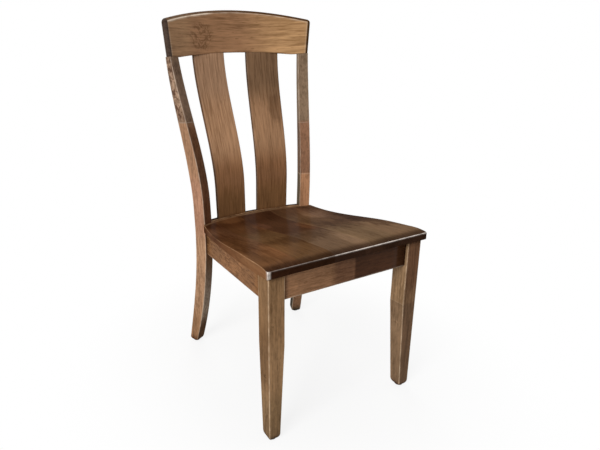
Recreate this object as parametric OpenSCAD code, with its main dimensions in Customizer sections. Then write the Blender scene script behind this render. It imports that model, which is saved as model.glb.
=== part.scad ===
// Wooden side chair with a scooped seat, two bent back slats and a bowed crest rail.
// The chair faces -Y, +Z is up, and the origin is on the floor under the middle of its bounding box.
// Left and right are as seen by someone who stands in front of the chair.

/* [Front legs] */
// Width across the outer faces of the front legs
leg_span = 450; // [410:1:500]
// Side of the square leg at the rails
leg_w = 42.5; // [38:0.5:48]
// Side of the square leg at the floor
leg_foot_w = 31; // [27:0.5:36]
// Height above the floor at which the inner faces start to taper
leg_taper_h = 256; // [150:1:320]
// Radius that rounds the bottom edges of each foot
foot_round = 7; // [3:0.5:9]

/* [Back posts] */
// Width across the outer front corners of the back posts, at the seat
post_span = 381; // [350:1:410]
// Distance from the front face of the front legs back to the posts, at the seat
frame_depth = 399; // [360:1:440]
// Height at which the front edge of a post stands furthest forward
post_waist_h = 444; // [430:1:455]
// Angle by which each post is turned in plan, to face the middle of the back
post_turn = 23.7; // [18:0.1:27]
// Angle by which each post leans outwards
post_splay = 1.2; // [0.4:0.1:2]
// Width of a post across its front face
post_w = 32.5; // [30:0.5:36]
// Depth of a post at the seat, from front to back
post_depth = 41; // [38:0.5:44]
// Depth of a post at the floor
post_foot_depth = 31; // [28:0.5:36]
// Depth of a post at its top
post_top_depth = 20; // [18:0.5:23]
// Distance that a post's foot sweeps back behind its waist
foot_kick = 77; // [50:1:95]
// Distance that a post's top sweeps back behind its waist
top_rake = 83; // [65:1:95]
// Height at which the backward sweep of a post starts
sweep_start_h = 489; // [470:1:510]
// Height at which the backward sweep would be upright again
sweep_end_h = 997; // [960:1:1040]

/* [Seat] */
// Height above the floor of the arris along the seat's front edge
seat_front_h = 451; // [430:1:470]
// Thickness of the seat boards before they are scooped
seat_t = 24.5; // [22:0.5:28]
// Height of the upright band along the seat's front edge
seat_edge_band = 18.2; // [15:0.1:20]
// Overhang of the seat past the legs, in front and at the sides
seat_overhang = 8.5; // [5:0.5:14]
// Slope of the seat down to the back, in degrees
seat_slope = 3; // [2:0.1:4]
// Half width of the seat where its sides reach the back posts
seat_rear_half_w = 194; // [190:0.5:198]
// How far the curved sides of the seat bulge past a straight line
seat_side_bow = 9; // [0:0.5:14]
// Radius of the seat's front corners in plan
seat_corner_r = 5; // [2:0.5:10]
// Length over which the top rolls down to the front edge
front_roll = 40; // [20:1:60]
// Depth of the scoop along the middle of the seat
scoop_depth = 13; // [8:0.5:14]
// Depth of the scoop where it runs out over the sides
scoop_edge_depth = 7.9; // [4:0.1:9]
// Distance from the front of the legs to where the scoop starts
scoop_start = 95; // [70:1:130]
// Distance from the front corners of the posts back to the rim behind the scoop, at the middle
rim_back = 46.5; // [42:0.5:50]
// Depth of the flat land behind the rim, in which the slats stand
land_depth = 21; // [19:0.5:25]
// Half width of the middle board of the seat
board_half_w = 55; // [50:1:62]
// Width of the boards on each side of the middle one
board_w = 90; // [84:1:94]

/* [Back] */
// Radius of the front of the crest rail, of the rim and of the land, in plan
back_radius = 540; // [510:5:620]
// Height of the underside of the crest rail at the posts
crest_h = 913.5; // [890:0.5:940]
// Rise of the arched underside of the crest rail
crest_under_rise = 12.5; // [6:0.5:15]
// Half length of that arch
crest_under_half_w = 188; // [175:1:192]
// Height of the crest rail itself, from the posts to the middle of its arched top
crest_rail_h = 132.5; // [115:0.5:150]
// Radius of the arched top, as seen from the front
crest_top_radius = 852; // [750:1:1000]
// Thickness of the crest rail
crest_t = 20; // [19:0.5:24]
// How much wider each end of the crest rail gets for every millimetre of height
crest_flare = 0.08; // [0.04:0.01:0.12]
// Radius that rounds the top and the ends of the crest rail
crest_round = 8.5; // [5:0.5:9]
// Backward lean of the crest rail, in degrees
crest_lean = 2; // [0:0.5:4]

/* [Slats] */
// Width of a slat where it leaves the seat
slat_w = 104.5; // [98:0.5:110]
// Width of a slat at the crest rail
slat_top_w = 107.5; // [98:0.5:112]
// Thickness of a slat
slat_t = 11.5; // [10:0.5:13]
// Distance of a slat's middle from the middle of the chair, at the seat
slat_x = 73.3; // [66:0.1:78]
// Angle by which each slat is turned in plan
slat_turn = 7.6; // [5:0.1:10]
// Outward lean of each slat, in degrees
slat_splay = 0.95; // [0.5:0.05:1.5]
// Set back of a slat's face behind the rim of the seat
slat_setback = 1.5; // [1:0.5:3]
// Set back of a slat's face behind the face of the crest rail, in the middle of its head
slat_head_setback = 3; // [2:0.5:4]
// Height at which the bend of a slat starts
slat_bend_start_h = 523; // [500:1:550]
// Height at which a slat is upright again
slat_bend_end_h = 938; // [920:1:960]
// Depth to which a slat is let into the seat, and length of the tenon on its head
slat_socket = 11; // [7:0.5:13]

/* [Rails] */
// Thickness of the rails under the seat
rail_t = 20; // [18:0.5:23]
// Height of the front rail and of the front ends of the side rails
rail_h = 65; // [55:1:75]
// How much deeper the side rails are at the back
rail_rear_drop = 7; // [0:0.5:12]
// Set back of the front rail behind the face of the legs
rail_setback = 7; // [3:0.5:10]
// Set back of the side rails from the side of the legs and of the posts
side_setback = 5; // [3:0.5:8]
// Set back of the rear rail from the inner back corner of the posts
rear_setback = 13; // [8:0.5:16]
// Thickness of the tenons, also of those on the heads of the slats
tenon_t = 8; // [6:0.5:9]
// Length of the tenons in the legs and posts
tenon_len = 16; // [10:0.5:17]
// Shoulder left above and below each tenon
tenon_shoulder = 9; // [5:0.5:12]
// Length of the tenon on top of a post
post_tenon_len = 24; // [15:1:30]
// Width of the tenon on top of a post
post_tenon_w = 20; // [14:0.5:22]

/* [Blocks and fasteners] */
// Length along each rail of the corner blocks
block_leg = 60; // [52:1:70]
// Height of the corner blocks
block_h = 40; // [32:1:48]
// Diameter of the screws' shanks
screw_d = 4; // [3:0.1:4.5]
// Diameter of the screws' heads
screw_head_d = 8; // [7:0.5:9]
// Length of the screws that hold the blocks to the rails
block_screw_len = 36; // [32:1:38]
// Length of the screws that hold the seat
seat_screw_len = 50; // [46:1:52]
// Distance of a block screw from the end of its block beside the leg or post
block_screw_in = 35; // [32:1:38]
// Diameter of the glides under the feet
glide_d = 20; // [16:0.5:22]
// Thickness of the glides that shows below the feet
glide_h = 2.5; // [1.5:0.5:4]
// Diameter of the nail that holds each glide
nail_d = 2.4; // [1.6:0.1:3]
// Length of that nail
nail_len = 16; // [12:1:20]

/* [Fits] */
// Clearance all round a tenon, a slat or a screw in its socket
fit_gap = 0.15; // [0.05:0.05:0.3]
// Clearance between the seat and the posts in its notches
notch_gap = 0.4; // [0.2:0.1:0.8]

/* [Hidden] */

// Walnut-stained hardwood as it looks on each piece, and the metal and nylon parts
back_wood = [0.52, 0.37, 0.24];
post_wood = [0.45, 0.31, 0.20];
seat_wood = [0.30, 0.18, 0.11];
rail_wood = [0.40, 0.28, 0.18];
block_wood = [0.70, 0.56, 0.38];
steel = [0.62, 0.62, 0.64];
nylon = [0.16, 0.14, 0.12];

// Segments along a curve that is drawn from a formula
curve_steps = 26;
// A length longer than the chair, for cutting tools
far = 1500;
round_fn = 64;

// The rise of a circle of radius r above its chord end, at distance x from its middle
function sag(r, x) = r - sqrt(r * r - x * x);
// An S curve from 0 to 1 with level ends
function ease(t) = let (c = max(0, min(1, t))) c * c * (3 - 2 * c);
function mix(a, b, t) = a + (b - a) * t;

// Seat planes: heights of the underside and of the unscooped top at a distance y behind the legs' face
seat_under_front = seat_front_h - seat_edge_band;
function seat_under(y) = seat_under_front - (y + seat_overhang) * tan(seat_slope);
function seat_top(y) = seat_under(y) + seat_t / cos(seat_slope);
seat_half_w = leg_span / 2 + seat_overhang;

// Sweep of a post's front edge behind its waist, and its depth, at height z
sweep_full = ease((crest_h - sweep_start_h) / (sweep_end_h - sweep_start_h));
function post_front(z) = z < post_waist_h
    ? foot_kick * pow((post_waist_h - z) / post_waist_h, 2)
    : top_rake * ease((z - sweep_start_h) / (sweep_end_h - sweep_start_h)) / sweep_full;
post_thin_from = 572;
post_thin_to = 200;
// How far a post's profile runs past its top and past its foot, and a tenon's below its root,
// before they are cut level
post_past = 4;
foot_past = 1;
tenon_root = 20;
function post_thick(z) = z < post_thin_to
    ? mix(post_depth, post_foot_depth, pow((post_thin_to - z) / post_thin_to, 2))
    : z < post_thin_from ? post_depth
    : mix(post_depth, post_top_depth, pow((z - post_thin_from) / (crest_h - post_thin_from), 1.3));

// A corner of the right post in plan at height z: v behind its front face, w in from its outer face
function post_corner(z, v, w) = let (
        lean = (z - post_waist_h) * tan(post_splay),
        back = post_front(z) + v)
    [post_span / 2 + lean + back * sin(post_turn) - w * cos(post_turn),
     frame_depth + back * cos(post_turn) + w * sin(post_turn)];

// The crest rail: its front face is a circle in plan that passes through the posts' outer corners
post_top_corner = post_corner(crest_h, 0, 0);
crest_half_w = post_top_corner[0];
crest_y = post_top_corner[1] + sag(back_radius, crest_half_w);
crest_top_h = crest_h + crest_rail_h;

// The rim behind the scoop of the seat, at the middle
rim_y = frame_depth + rim_back;

// The box of the whole chair, for the place of the origin
rear_most_y = crest_y + crest_t * cos(crest_lean) + (crest_rail_h - crest_round) * sin(crest_lean);
mid_y = (rear_most_y - seat_overhang) / 2;

// Side rails in plan: the outer face runs from beside the leg to beside the post
rail_front_x = leg_span / 2 - side_setback;
rail_rear_x = post_span / 2 - side_setback;
rail_turn = atan2(rail_front_x - rail_rear_x, frame_depth - leg_w);
side_rail_run = (frame_depth - leg_w) / cos(rail_turn);
leg_in_x = leg_span / 2 - leg_w;
function side_inner_x(y) = rail_front_x - (y - leg_w) * tan(rail_turn) - rail_t / cos(rail_turn);
front_inner_y = rail_setback + rail_t;
rear_rail_y = post_corner(post_waist_h, post_depth, post_w)[1] - rear_setback - rail_t;
rail_under_front = seat_under(rail_setback) - rail_h;
rail_rear_h = rail_h + rail_rear_drop;

// Outlines of the foot: a bar of width b whose bottom corners are rounded
function foot_arc(cx, cz, r, a0, a1) = [for (i = [0:6])
    let (a = mix(a0, a1, i / 6)) [cx + r * cos(a), cz + r * sin(a)]];

// Everything is drawn with y = 0 at the front face of the front legs, and then centred
module centred() translate([0, -mid_y, 0]) children();
// The same piece on the left or on the right
module on_side(side) if (side < 0) mirror([1, 0, 0]) children(); else children();
// A profile drawn in Y and Z, pulled along X from x0 to x1
module pull_x(x0, x1) translate([x0, 0, 0]) rotate([90, 0, 90]) linear_extrude(x1 - x0) children();
// A profile drawn in X and Z, pulled along Y from y0 to y1
module pull_y(y0, y1) translate([0, y1, 0]) rotate([90, 0, 0]) linear_extrude(y1 - y0) children();
// All that lies below the seat, less a gap
module below_seat(gap) pull_x(-far, far)
    polygon([[-far, 0], [far, 0], [far, seat_under(far) - gap], [-far, seat_under(-far) - gap]]);

// Front legs: two profiles crossed, each with its outer face upright and its inner face tapered
function leg_profile() = concat(
    [[0, far], [leg_w, far], [leg_w, leg_taper_h]],
    foot_arc(leg_foot_w - foot_round, glide_h + foot_round, foot_round, 0, -90),
    foot_arc(foot_round, glide_h + foot_round, foot_round, -90, -180));

module leg_blank() intersection() {
    translate([leg_span / 2, 0, 0]) mirror([1, 0, 0]) pull_y(0, leg_w) polygon(leg_profile());
    pull_x(leg_in_x, leg_span / 2) polygon(leg_profile());
    below_seat(0);
}

// Place of a post's own frame: x outwards from its outer face, y back from its front, z up
module in_post_frame() translate([post_span / 2, frame_depth, post_waist_h])
    rotate([0, post_splay, 0]) rotate([0, 0, -post_turn]) translate([0, 0, -post_waist_h]) children();

function post_side_profile() = let (
        z0 = glide_h - foot_past, n = curve_steps,
        hs = [for (i = [0:n]) mix(z0 + foot_round, crest_h + post_past, i / n)],
        f0 = post_front(z0), b0 = post_front(z0) + post_thick(z0))
    concat(
        foot_arc(f0 + foot_round, z0 + foot_round, foot_round, -90, -180),
        [for (z = hs) [post_front(z), z]],
        [for (i = [n:-1:0]) [post_front(hs[i]) + post_thick(hs[i]), hs[i]]],
        foot_arc(b0 - foot_round, z0 + foot_round, foot_round, 0, -90));

function post_front_profile() = let (z0 = glide_h - foot_past) concat(
    [[0, far], [-post_w, far]],
    foot_arc(-post_w + foot_round, z0 + foot_round, foot_round, 180, 270),
    foot_arc(-foot_round, z0 + foot_round, foot_round, -90, 0));

module post_blank() intersection() {
    in_post_frame() intersection() {
        pull_x(-post_w, 0) polygon(post_side_profile());
        pull_y(-far, far) polygon(post_front_profile());
    }
    translate([-far, -far, glide_h]) cube([2 * far, 2 * far, crest_h - glide_h]);
}

// Tenon on top of a post, in the middle of its section
module post_tenon(gap) intersection() {
    in_post_frame() translate([-(post_w + post_tenon_w) / 2 - gap,
            post_front(crest_h) + (post_top_depth - tenon_t) / 2 - gap, crest_h - tenon_root])
        cube([post_tenon_w + 2 * gap, tenon_t + 2 * gap, post_tenon_len + 2 * tenon_root]);
    translate([-far, -far, crest_h - 1]) cube([2 * far, 2 * far, post_tenon_len + 1 + gap]);
}

// Front rail with a tenon in each leg
module front_rail_tenons(gap) pull_y(rail_setback + (rail_t - tenon_t) / 2 - gap,
        rail_setback + (rail_t + tenon_t) / 2 + gap) {
    half = leg_in_x + tenon_len + gap;
    low = rail_under_front + tenon_shoulder - gap;
    high = seat_under(rail_setback + rail_t) - tenon_shoulder + gap;
    polygon([[-half, low], [half, low], [half, high], [-half, high]]);
}

module front_rail() color(rail_wood) centred() difference() {
    union() {
        intersection() {
            translate([-leg_in_x, rail_setback, rail_under_front]) cube([2 * leg_in_x, rail_t, rail_h + seat_t]);
            below_seat(0);
        }
        front_rail_tenons(0);
    }
    for (side = [-1, 1]) on_side(side) block_screws_one_side(fit_gap);
}

// Side rail: drawn along its own length, from the leg's back face
module in_side_rail_frame() translate([rail_front_x, leg_w, 0]) rotate([0, 0, rail_turn]) children();

function side_low(s) = seat_under(leg_w) - mix(rail_h, rail_rear_h, s / side_rail_run)
    - s * cos(rail_turn) * tan(seat_slope);
function side_high(s) = seat_under(leg_w + s * cos(rail_turn));

module side_rail_bar(s0, s1) intersection() {
    in_side_rail_frame() pull_x(-rail_t, 0)
        polygon([[s0, side_low(s0)], [s1, side_low(s1)],
            [s1, side_high(s1) + seat_t], [s0, side_high(s0) + seat_t]]);
    below_seat(0);
}

module side_rail_tenons(gap, s0, s1) in_side_rail_frame()
    pull_x(-(rail_t + tenon_t) / 2 - gap, -(rail_t - tenon_t) / 2 + gap) {
        under = tenon_shoulder - gap;
        polygon([[s0, side_low(s0) + under], [s1, side_low(s1) + under],
            [s1, side_high(s1) - under], [s0, side_high(s0) - under]]);
    }

// The rail's tenon reaches into the leg in front and into the post behind
rail_to_post = side_rail_run + post_w * sin(post_turn);
module side_rail_solid() {
    difference() {
        side_rail_bar(-rail_t, rail_to_post);
        leg_keep_out();
        post_blank();
    }
    side_rail_tenons(0, -tenon_len, side_rail_run + tenon_len);
}
// The space in front of a leg's back face, with the leg in it
module leg_keep_out() translate([0, leg_w - far, 0]) cube([far, far, far]);

module side_rail(side) color(rail_wood) centred() on_side(side) difference() {
    side_rail_solid();
    block_screws_one_side(fit_gap);
}

// Rear rail between the posts
function rear_low() = side_low(side_rail_run);
function rear_high() = seat_under(rear_rail_y + rail_t);
// The rear rail's tenons are shorter, as they meet those of the side rails in the posts
rear_tenon_less = 4;
rear_tenon_past = tenon_len - rear_tenon_less;
rear_rail_reach = post_corner(post_waist_h, post_depth, post_w)[0];

module rear_rail_tenons(gap) pull_y(rear_rail_y + (rail_t - tenon_t) / 2 - gap,
        rear_rail_y + (rail_t + tenon_t) / 2 + gap) {
    half = rear_rail_reach + rear_tenon_past + gap;
    low = rear_low() + tenon_shoulder - gap;
    high = rear_high() - tenon_shoulder + gap;
    polygon([[-half, low], [half, low], [half, high], [-half, high]]);
}

module rear_rail() color(rail_wood) centred() difference() {
    union() {
        difference() {
            intersection() {
                translate([-rear_rail_reach, rear_rail_y, rear_low()])
                    cube([2 * rear_rail_reach, rail_t, rail_h + rail_rear_drop + seat_t]);
                below_seat(0);
            }
            for (side = [-1, 1]) on_side(side) post_blank();
        }
        rear_rail_tenons(0);
    }
    for (side = [-1, 1]) on_side(side) block_screws_one_side(fit_gap);
}

// A leg or a post with the mortises for the rails' tenons
module front_leg(side) color(post_wood) centred() on_side(side) difference() {
    leg_blank();
    front_rail_tenons(fit_gap);
    side_rail_tenons(fit_gap, -tenon_len - fit_gap, leg_w);
    translate([leg_middle, leg_middle_y, 0]) nail(fit_gap);
}
leg_middle = leg_span / 2 - leg_foot_w / 2;
leg_middle_y = leg_foot_w / 2;

module back_post(side) color(post_wood) centred() on_side(side) {
    difference() {
        post_blank();
        side_rail_tenons(fit_gap, side_rail_run - leg_w, side_rail_run + tenon_len + fit_gap);
        rear_rail_tenons(fit_gap);
        at_rear_foot() nail(fit_gap);
    }
    post_tenon(0);
}

// Slats: a bent side profile crossed with a tapered front profile. A slat leans out with the posts,
// and its sweep is what brings its face to its place behind the face of the crest rail.
slat_face_y = rim_y - sag(back_radius, slat_x) + slat_setback;
slat_foot_h = seat_top(slat_face_y + slat_t / 2) - slat_socket;
slat_head_x = slat_x + top_rake * sin(slat_turn) + (crest_h - slat_foot_h) * tan(slat_splay);
slat_head_y = crest_y - sag(back_radius, slat_head_x) + slat_head_setback;
slat_rake = (slat_head_y - slat_face_y) / cos(slat_turn);
function slat_line(z) = slat_rake * ease((z - slat_bend_start_h) / (slat_bend_end_h - slat_bend_start_h));
crest_under_radius = (pow(crest_under_half_w, 2) + pow(crest_under_rise, 2)) / (2 * crest_under_rise);
function crest_under(x) = crest_h + max(0, crest_under_rise
    - sag(crest_under_radius, min(abs(x), crest_under_half_w)));
slat_head_h = crest_under(slat_head_x) + slat_socket;
slat_bend_top = min(slat_bend_end_h, slat_head_h - 1);

// A stick with the slat's bend, as deep as v0 to v1 behind its face and as wide as the slat less an inset
module slat_stick(v0, v1, inset, gap) {
    n = curve_steps;
    z0 = slat_foot_h - gap;
    z1 = slat_head_h + gap;
    hs = concat([z0], [for (i = [0:n]) mix(slat_bend_start_h, slat_bend_top, i / n)], [z1]);
    m = len(hs) - 1;
    foot = slat_w / 2 - inset + gap;
    head = slat_top_w / 2 - inset + gap;
    translate([slat_x, slat_face_y, slat_foot_h]) rotate([0, 0, -slat_turn])
        rotate([0, slat_splay, 0]) translate([0, 0, -slat_foot_h]) intersection() {
            pull_x(-slat_top_w, slat_top_w) polygon(concat(
                [for (z = hs) [slat_line(z) + v0 - gap, z]],
                [for (i = [m:-1:0]) [slat_line(hs[i]) + v1 + gap, hs[i]]]));
            pull_y(-far, far) polygon([[-foot, z0], [foot, z0], [head, z1], [-head, z1]]);
        }
}

// The slat ends in a shoulder just under the arched crest rail, and a tenon goes on into the rail
shoulder_gap = 0.05;
module under_crest() {
    n = curve_steps;
    xs = [for (i = [0:n]) mix(-crest_under_half_w, crest_under_half_w, i / n)];
    pull_y(-far, far) polygon(concat([for (x = xs) [x, crest_under(x) - shoulder_gap]],
        [[crest_under_half_w, 0], [-crest_under_half_w, 0]]));
}
module slat_tenon(gap) intersection() {
    slat_stick((slat_t - tenon_t) / 2, (slat_t + tenon_t) / 2, tenon_shoulder, gap);
    translate([-far, -far, crest_h - tenon_root]) cube([2 * far, 2 * far, far]);
}

module back_slat(side) color(back_wood) centred() on_side(side) {
    intersection() {
        slat_stick(0, slat_t, 0, 0);
        under_crest();
    }
    slat_tenon(0);
}

// Crest rail: a rounded section carried along the bow, from one end to the other.
// The last stations are close together and follow the round of each end.
crest_end_steps = 5;
crest_mid_steps = 22;
crest_length_mid = crest_half_w - crest_round;
function crest_stations() = concat(
    [for (i = [0:crest_end_steps - 1]) let (a = 90 * i / crest_end_steps)
        -crest_length_mid - crest_round * cos(a)],
    [for (i = [0:crest_mid_steps]) mix(-crest_length_mid, crest_length_mid, i / crest_mid_steps)],
    [for (i = [crest_end_steps - 1:-1:0]) let (a = 90 * i / crest_end_steps)
        crest_length_mid + crest_round * cos(a)]);
// How far the faces draw in at station s because of the round of the ends
function end_round(s) = let (over = max(0, abs(s) - crest_length_mid))
    crest_round - sqrt(max(0, crest_round * crest_round - over * over));
function crest_top(x) = crest_top_h - sag(crest_top_radius, x);
// The section at station s as [set back from the front face, height], front bottom first
function crest_section(s) = let (
        pull = end_round(s),
        widest = crest_half_w + crest_flare * (crest_top(crest_half_w) - crest_h),
        zt = crest_top(s * widest / crest_half_w) - pull,
        zb = crest_under(s),
        r = crest_round - pull * 0.9,
        f = pull,
        b = crest_t - pull)
    concat([[f, zb], [f, mix(zb, zt - r, 0.5)]],
        [for (i = [0:5]) let (a = 180 - 18 * i) [f + r + r * cos(a), zt - r + r * sin(a)]],
        [for (i = [0:5]) let (a = 90 - 18 * i) [b - r + r * cos(a), zt - r + r * sin(a)]],
        [[b, mix(zb, zt - r, 0.5)], [b, zb]]);
function crest_place(s, p) = let (
        wide = s * (1 + crest_flare * (p[1] - crest_h) / crest_half_w),
        a = asin(min(0.99, abs(wide) / back_radius)) * sign(wide),
        r = back_radius + p[0],
        y = crest_y - back_radius + r * cos(a),
        up = p[1] - crest_h)
    [r * sin(a), y + up * sin(crest_lean), crest_h + up * cos(crest_lean)];

module crest_blank() {
    stations = crest_stations();
    loops = [for (s = stations) [for (p = crest_section(s)) crest_place(s, p)]];
    n = len(loops[0]);
    m = len(loops);
    polyhedron(
        points = [for (loop = loops) for (p = loop) p],
        faces = concat(
            [for (j = [0:n / 2 - 2]) [j, j + 1, n - 2 - j]],
            [for (j = [0:n / 2 - 2]) [j, n - 2 - j, n - 1 - j]],
            [for (i = [0:m - 2]) for (j = [0:n - 1]) let (k = (j + 1) % n)
                [i * n + j, (i + 1) * n + j, (i + 1) * n + k]],
            [for (i = [0:m - 2]) for (j = [0:n - 1]) let (k = (j + 1) % n)
                [i * n + j, (i + 1) * n + k, i * n + k]],
            [for (j = [0:n / 2 - 2]) let (e = (m - 1) * n) [e + n - 2 - j, e + j + 1, e + j]],
            [for (j = [0:n / 2 - 2]) let (e = (m - 1) * n) [e + n - 1 - j, e + n - 2 - j, e + j]]));
}

module crest_rail() color(back_wood) centred() difference() {
    crest_blank();
    for (side = [-1, 1]) on_side(side) {
        post_tenon(fit_gap);
        slat_tenon(fit_gap);
    }
}

// Seat in plan: straight front, bowed sides, and a rear edge that follows the back's curve
side_run = frame_depth + seat_overhang;
function corner_cut(d) = d < seat_corner_r ? sag(seat_corner_r, seat_corner_r - d) : 0;
function seat_side_x(y) = let (t = min(1, (y + seat_overhang) / side_run))
    mix(seat_half_w, seat_rear_half_w, t) + seat_side_bow * 4 * t * (1 - t) - corner_cut(y + seat_overhang);
function seat_rear_y(x) = rim_y + land_depth - sag(back_radius + land_depth, x);

// The scoop: its rim follows the curve of the back, and bends forward past the posts to the sides
rim_bend_from = 150;
rim_bend = 0.005;
function rim_line(x) = rim_y - sag(back_radius, x) - rim_bend * pow(max(0, abs(x) - rim_bend_from), 2);
function scoop_at(x) = mix(scoop_depth, scoop_edge_depth, pow(x / seat_half_w, 2));
function scoop_dip(x, y) = let (u = (y - scoop_start) / (rim_line(x) - scoop_start))
    u > 0 && u < 1 ? scoop_at(x) * 6.75 * u * u * (1 - u) : 0;

// The top rolls down to the arris along the front edge
roll_drop = seat_top(-seat_overhang) - seat_front_h;
function roll_dip(y) = roll_drop * pow(max(0, 1 - (y + seat_overhang) / front_roll), 2);
function seat_surface(x, y) = seat_top(y) - roll_dip(y) - scoop_dip(x, y);

// Stations from front to back along the middle of the seat, finer at the corner and at the rim
roll_end = front_roll - seat_overhang;
seat_stations = concat(
    [for (a = [-90:18:-18]) -seat_overhang + seat_corner_r * (1 + sin(a))],
    [for (i = [0:5]) mix(seat_corner_r - seat_overhang, roll_end, i / 6)],
    [roll_end, (roll_end + scoop_start) / 2],
    [for (i = [0:18]) mix(scoop_start, rim_y, sin(90 * i / 18))],
    [rim_y + land_depth / 2, rim_y + land_depth]);
// The place of a station at distance x from the middle: the further back, the more it follows the curve
function seat_y(x, q) = q < scoop_start ? q
    : mix(scoop_start, seat_rear_y(x), (q - scoop_start) / (rim_y + land_depth - scoop_start));

// Edges between the boards, from left to right
board_edges = [0, -board_half_w - board_w, -board_half_w, board_half_w, board_half_w + board_w, 0];
function outer_edge(q) = seat_side_x(seat_y(seat_rear_half_w, q));
function board_x(k, q, t) = mix(k == 1 ? -outer_edge(q) : board_edges[k - 1],
    k == 5 ? outer_edge(q) : board_edges[k], t);
board_nx = 5;

// A board's top is a grid of points on the seat's surface, and its underside is flat
module board_blank(k) {
    nx = board_nx;
    ny = len(seat_stations) - 1;
    top = [for (i = [0:nx]) for (q = seat_stations)
        let (x = board_x(k, q, i / nx), y = seat_y(x, q)) [x, y, seat_surface(x, y)]];
    function at(i, j) = i * (ny + 1) + j;
    ring = concat([for (j = [0:ny]) at(0, j)], [for (i = [1:nx]) at(i, ny)],
        [for (j = [ny - 1:-1:0]) at(nx, j)], [for (i = [nx - 1:-1:1]) at(i, 0)]);
    b = len(top);
    m = len(ring);
    polyhedron(
        points = concat(top, [for (p = top) [p[0], p[1], seat_under(p[1])]]),
        faces = concat(
            [for (i = [0:nx - 1]) for (j = [0:ny - 1]) [at(i, j), at(i, j + 1), at(i + 1, j + 1)]],
            [for (i = [0:nx - 1]) for (j = [0:ny - 1]) [at(i, j), at(i + 1, j + 1), at(i + 1, j)]],
            [for (i = [0:nx - 1]) for (j = [0:ny - 1])
                [b + at(i, j), b + at(i + 1, j + 1), b + at(i, j + 1)]],
            [for (i = [0:nx - 1]) for (j = [0:ny - 1])
                [b + at(i, j), b + at(i + 1, j), b + at(i + 1, j + 1)]],
            [for (k = [0:m - 1]) [ring[(k + 1) % m], ring[k], b + ring[k]]],
            [for (k = [0:m - 1]) [ring[(k + 1) % m], b + ring[k], b + ring[(k + 1) % m]]]));
}

// A notch for a post: all that lies behind its front face and outside its inner face
module post_notch(gap) translate([post_span / 2, frame_depth, 0]) rotate([0, 0, -post_turn])
    translate([-post_w - gap, -gap, 0]) cube([far, far, far]);

module seat_board(k) color(seat_wood) centred() difference() {
    board_blank(k);
    for (side = [-1, 1]) on_side(side) {
        post_notch(notch_gap);
        slat_stick(0, slat_t, 0, fit_gap);
        seat_screw(front_seat_screw, fit_gap);
        seat_screw(rear_seat_screw, fit_gap);
    }
}

// Corner blocks in plan, clear of the leg or of the post beside them
block_z = seat_under(leg_w) - block_h;
front_block = [[leg_in_x - fit_gap, front_inner_y], [leg_in_x - block_leg, front_inner_y],
    [side_inner_x(leg_w + block_leg), leg_w + block_leg],
    [side_inner_x(leg_w + fit_gap), leg_w + fit_gap], [leg_in_x - fit_gap, leg_w + fit_gap]];
rear_block_y = frame_depth - block_leg;
rear_block_x = side_inner_x(rear_rail_y);
rear_block = [[side_inner_x(rear_block_y), rear_block_y], [rear_block_x, rear_rail_y],
    [rear_block_x - block_leg, rear_rail_y]];
rear_block_z = seat_under(rear_rail_y) - block_h;

// A countersunk screw that points along +Z from its head at the origin; with a gap it is a cutting tool
sink_depth = 60;
module rod(d, z, h, d2 = 0) translate([0, 0, z]) cylinder(d1 = d, d2 = d2 > 0 ? d2 : d, h = h, $fn = round_fn);
module screw(len, gap) {
    head_h = (screw_head_d - screw_d) / 2;
    rod(screw_d + 2 * gap, -gap, len + 2 * gap);
    rod(screw_head_d + 2 * gap, 0, head_h + gap, screw_d + 2 * gap);
    if (gap > 0) rod(screw_head_d + 2 * gap, -sink_depth, sink_depth);
}

// Screws through a block: into the front or rear rail along Y, and into the side rail along X
screw_grip = 13;
rear_screw_shift = 17;
front_screw_z = block_z + block_h / 2;
rear_screw_z = rear_block_z + block_h / 2;
screw_start = screw_grip - block_screw_len;
front_screw_b_y = leg_w + block_screw_in;
rear_screw_b_y = rear_rail_y - block_screw_in - rear_screw_shift;
front_screw_a = [leg_in_x - block_screw_in, front_inner_y - screw_start, front_screw_z];
front_screw_b = [side_inner_x(front_screw_b_y) + screw_start, front_screw_b_y, front_screw_z];
rear_screw_a = [rear_block_x - block_screw_in, rear_rail_y + screw_start, rear_screw_z];
rear_screw_b = [side_inner_x(rear_screw_b_y) + screw_start, rear_screw_b_y, rear_screw_z];

module block_screws_one_side(gap) {
    translate(front_screw_a) rotate([90, 0, 0]) screw(block_screw_len, gap);
    translate(front_screw_b) rotate([0, 90, 0]) screw(block_screw_len, gap);
    translate(rear_screw_a) rotate([-90, 0, 0]) screw(block_screw_len, gap);
    translate(rear_screw_b) rotate([0, 90, 0]) screw(block_screw_len, gap);
}

// Screws up through the blocks into the seat
seat_screw_inset = 14;
rear_seat_screw_in = 8;
rear_seat_screw_back = 25;
front_seat_screw = [leg_in_x - seat_screw_inset, leg_w + seat_screw_inset, block_z];
rear_seat_screw = [rear_block_x - rear_seat_screw_in, rear_rail_y - rear_seat_screw_back, rear_block_z];
module seat_screw(at, gap) translate(at) screw(seat_screw_len, gap);

module corner_block_front(side) color(block_wood) centred() on_side(side) difference() {
    intersection() {
        translate([0, 0, block_z]) linear_extrude(block_h + seat_t) polygon(front_block);
        below_seat(0);
    }
    block_screws_one_side(fit_gap);
    seat_screw(front_seat_screw, fit_gap);
}

module corner_block_rear(side) color(block_wood) centred() on_side(side) difference() {
    intersection() {
        translate([0, 0, rear_block_z]) linear_extrude(block_h + seat_t) polygon(rear_block);
        below_seat(0);
    }
    post_blank();
    block_screws_one_side(fit_gap);
    seat_screw(rear_seat_screw, fit_gap);
}

module block_screws() color(steel) centred() for (side = [-1, 1]) on_side(side) block_screws_one_side(0);
module seat_screws() color(steel) centred() for (side = [-1, 1]) on_side(side) {
    seat_screw(front_seat_screw, 0);
    seat_screw(rear_seat_screw, 0);
}

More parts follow.
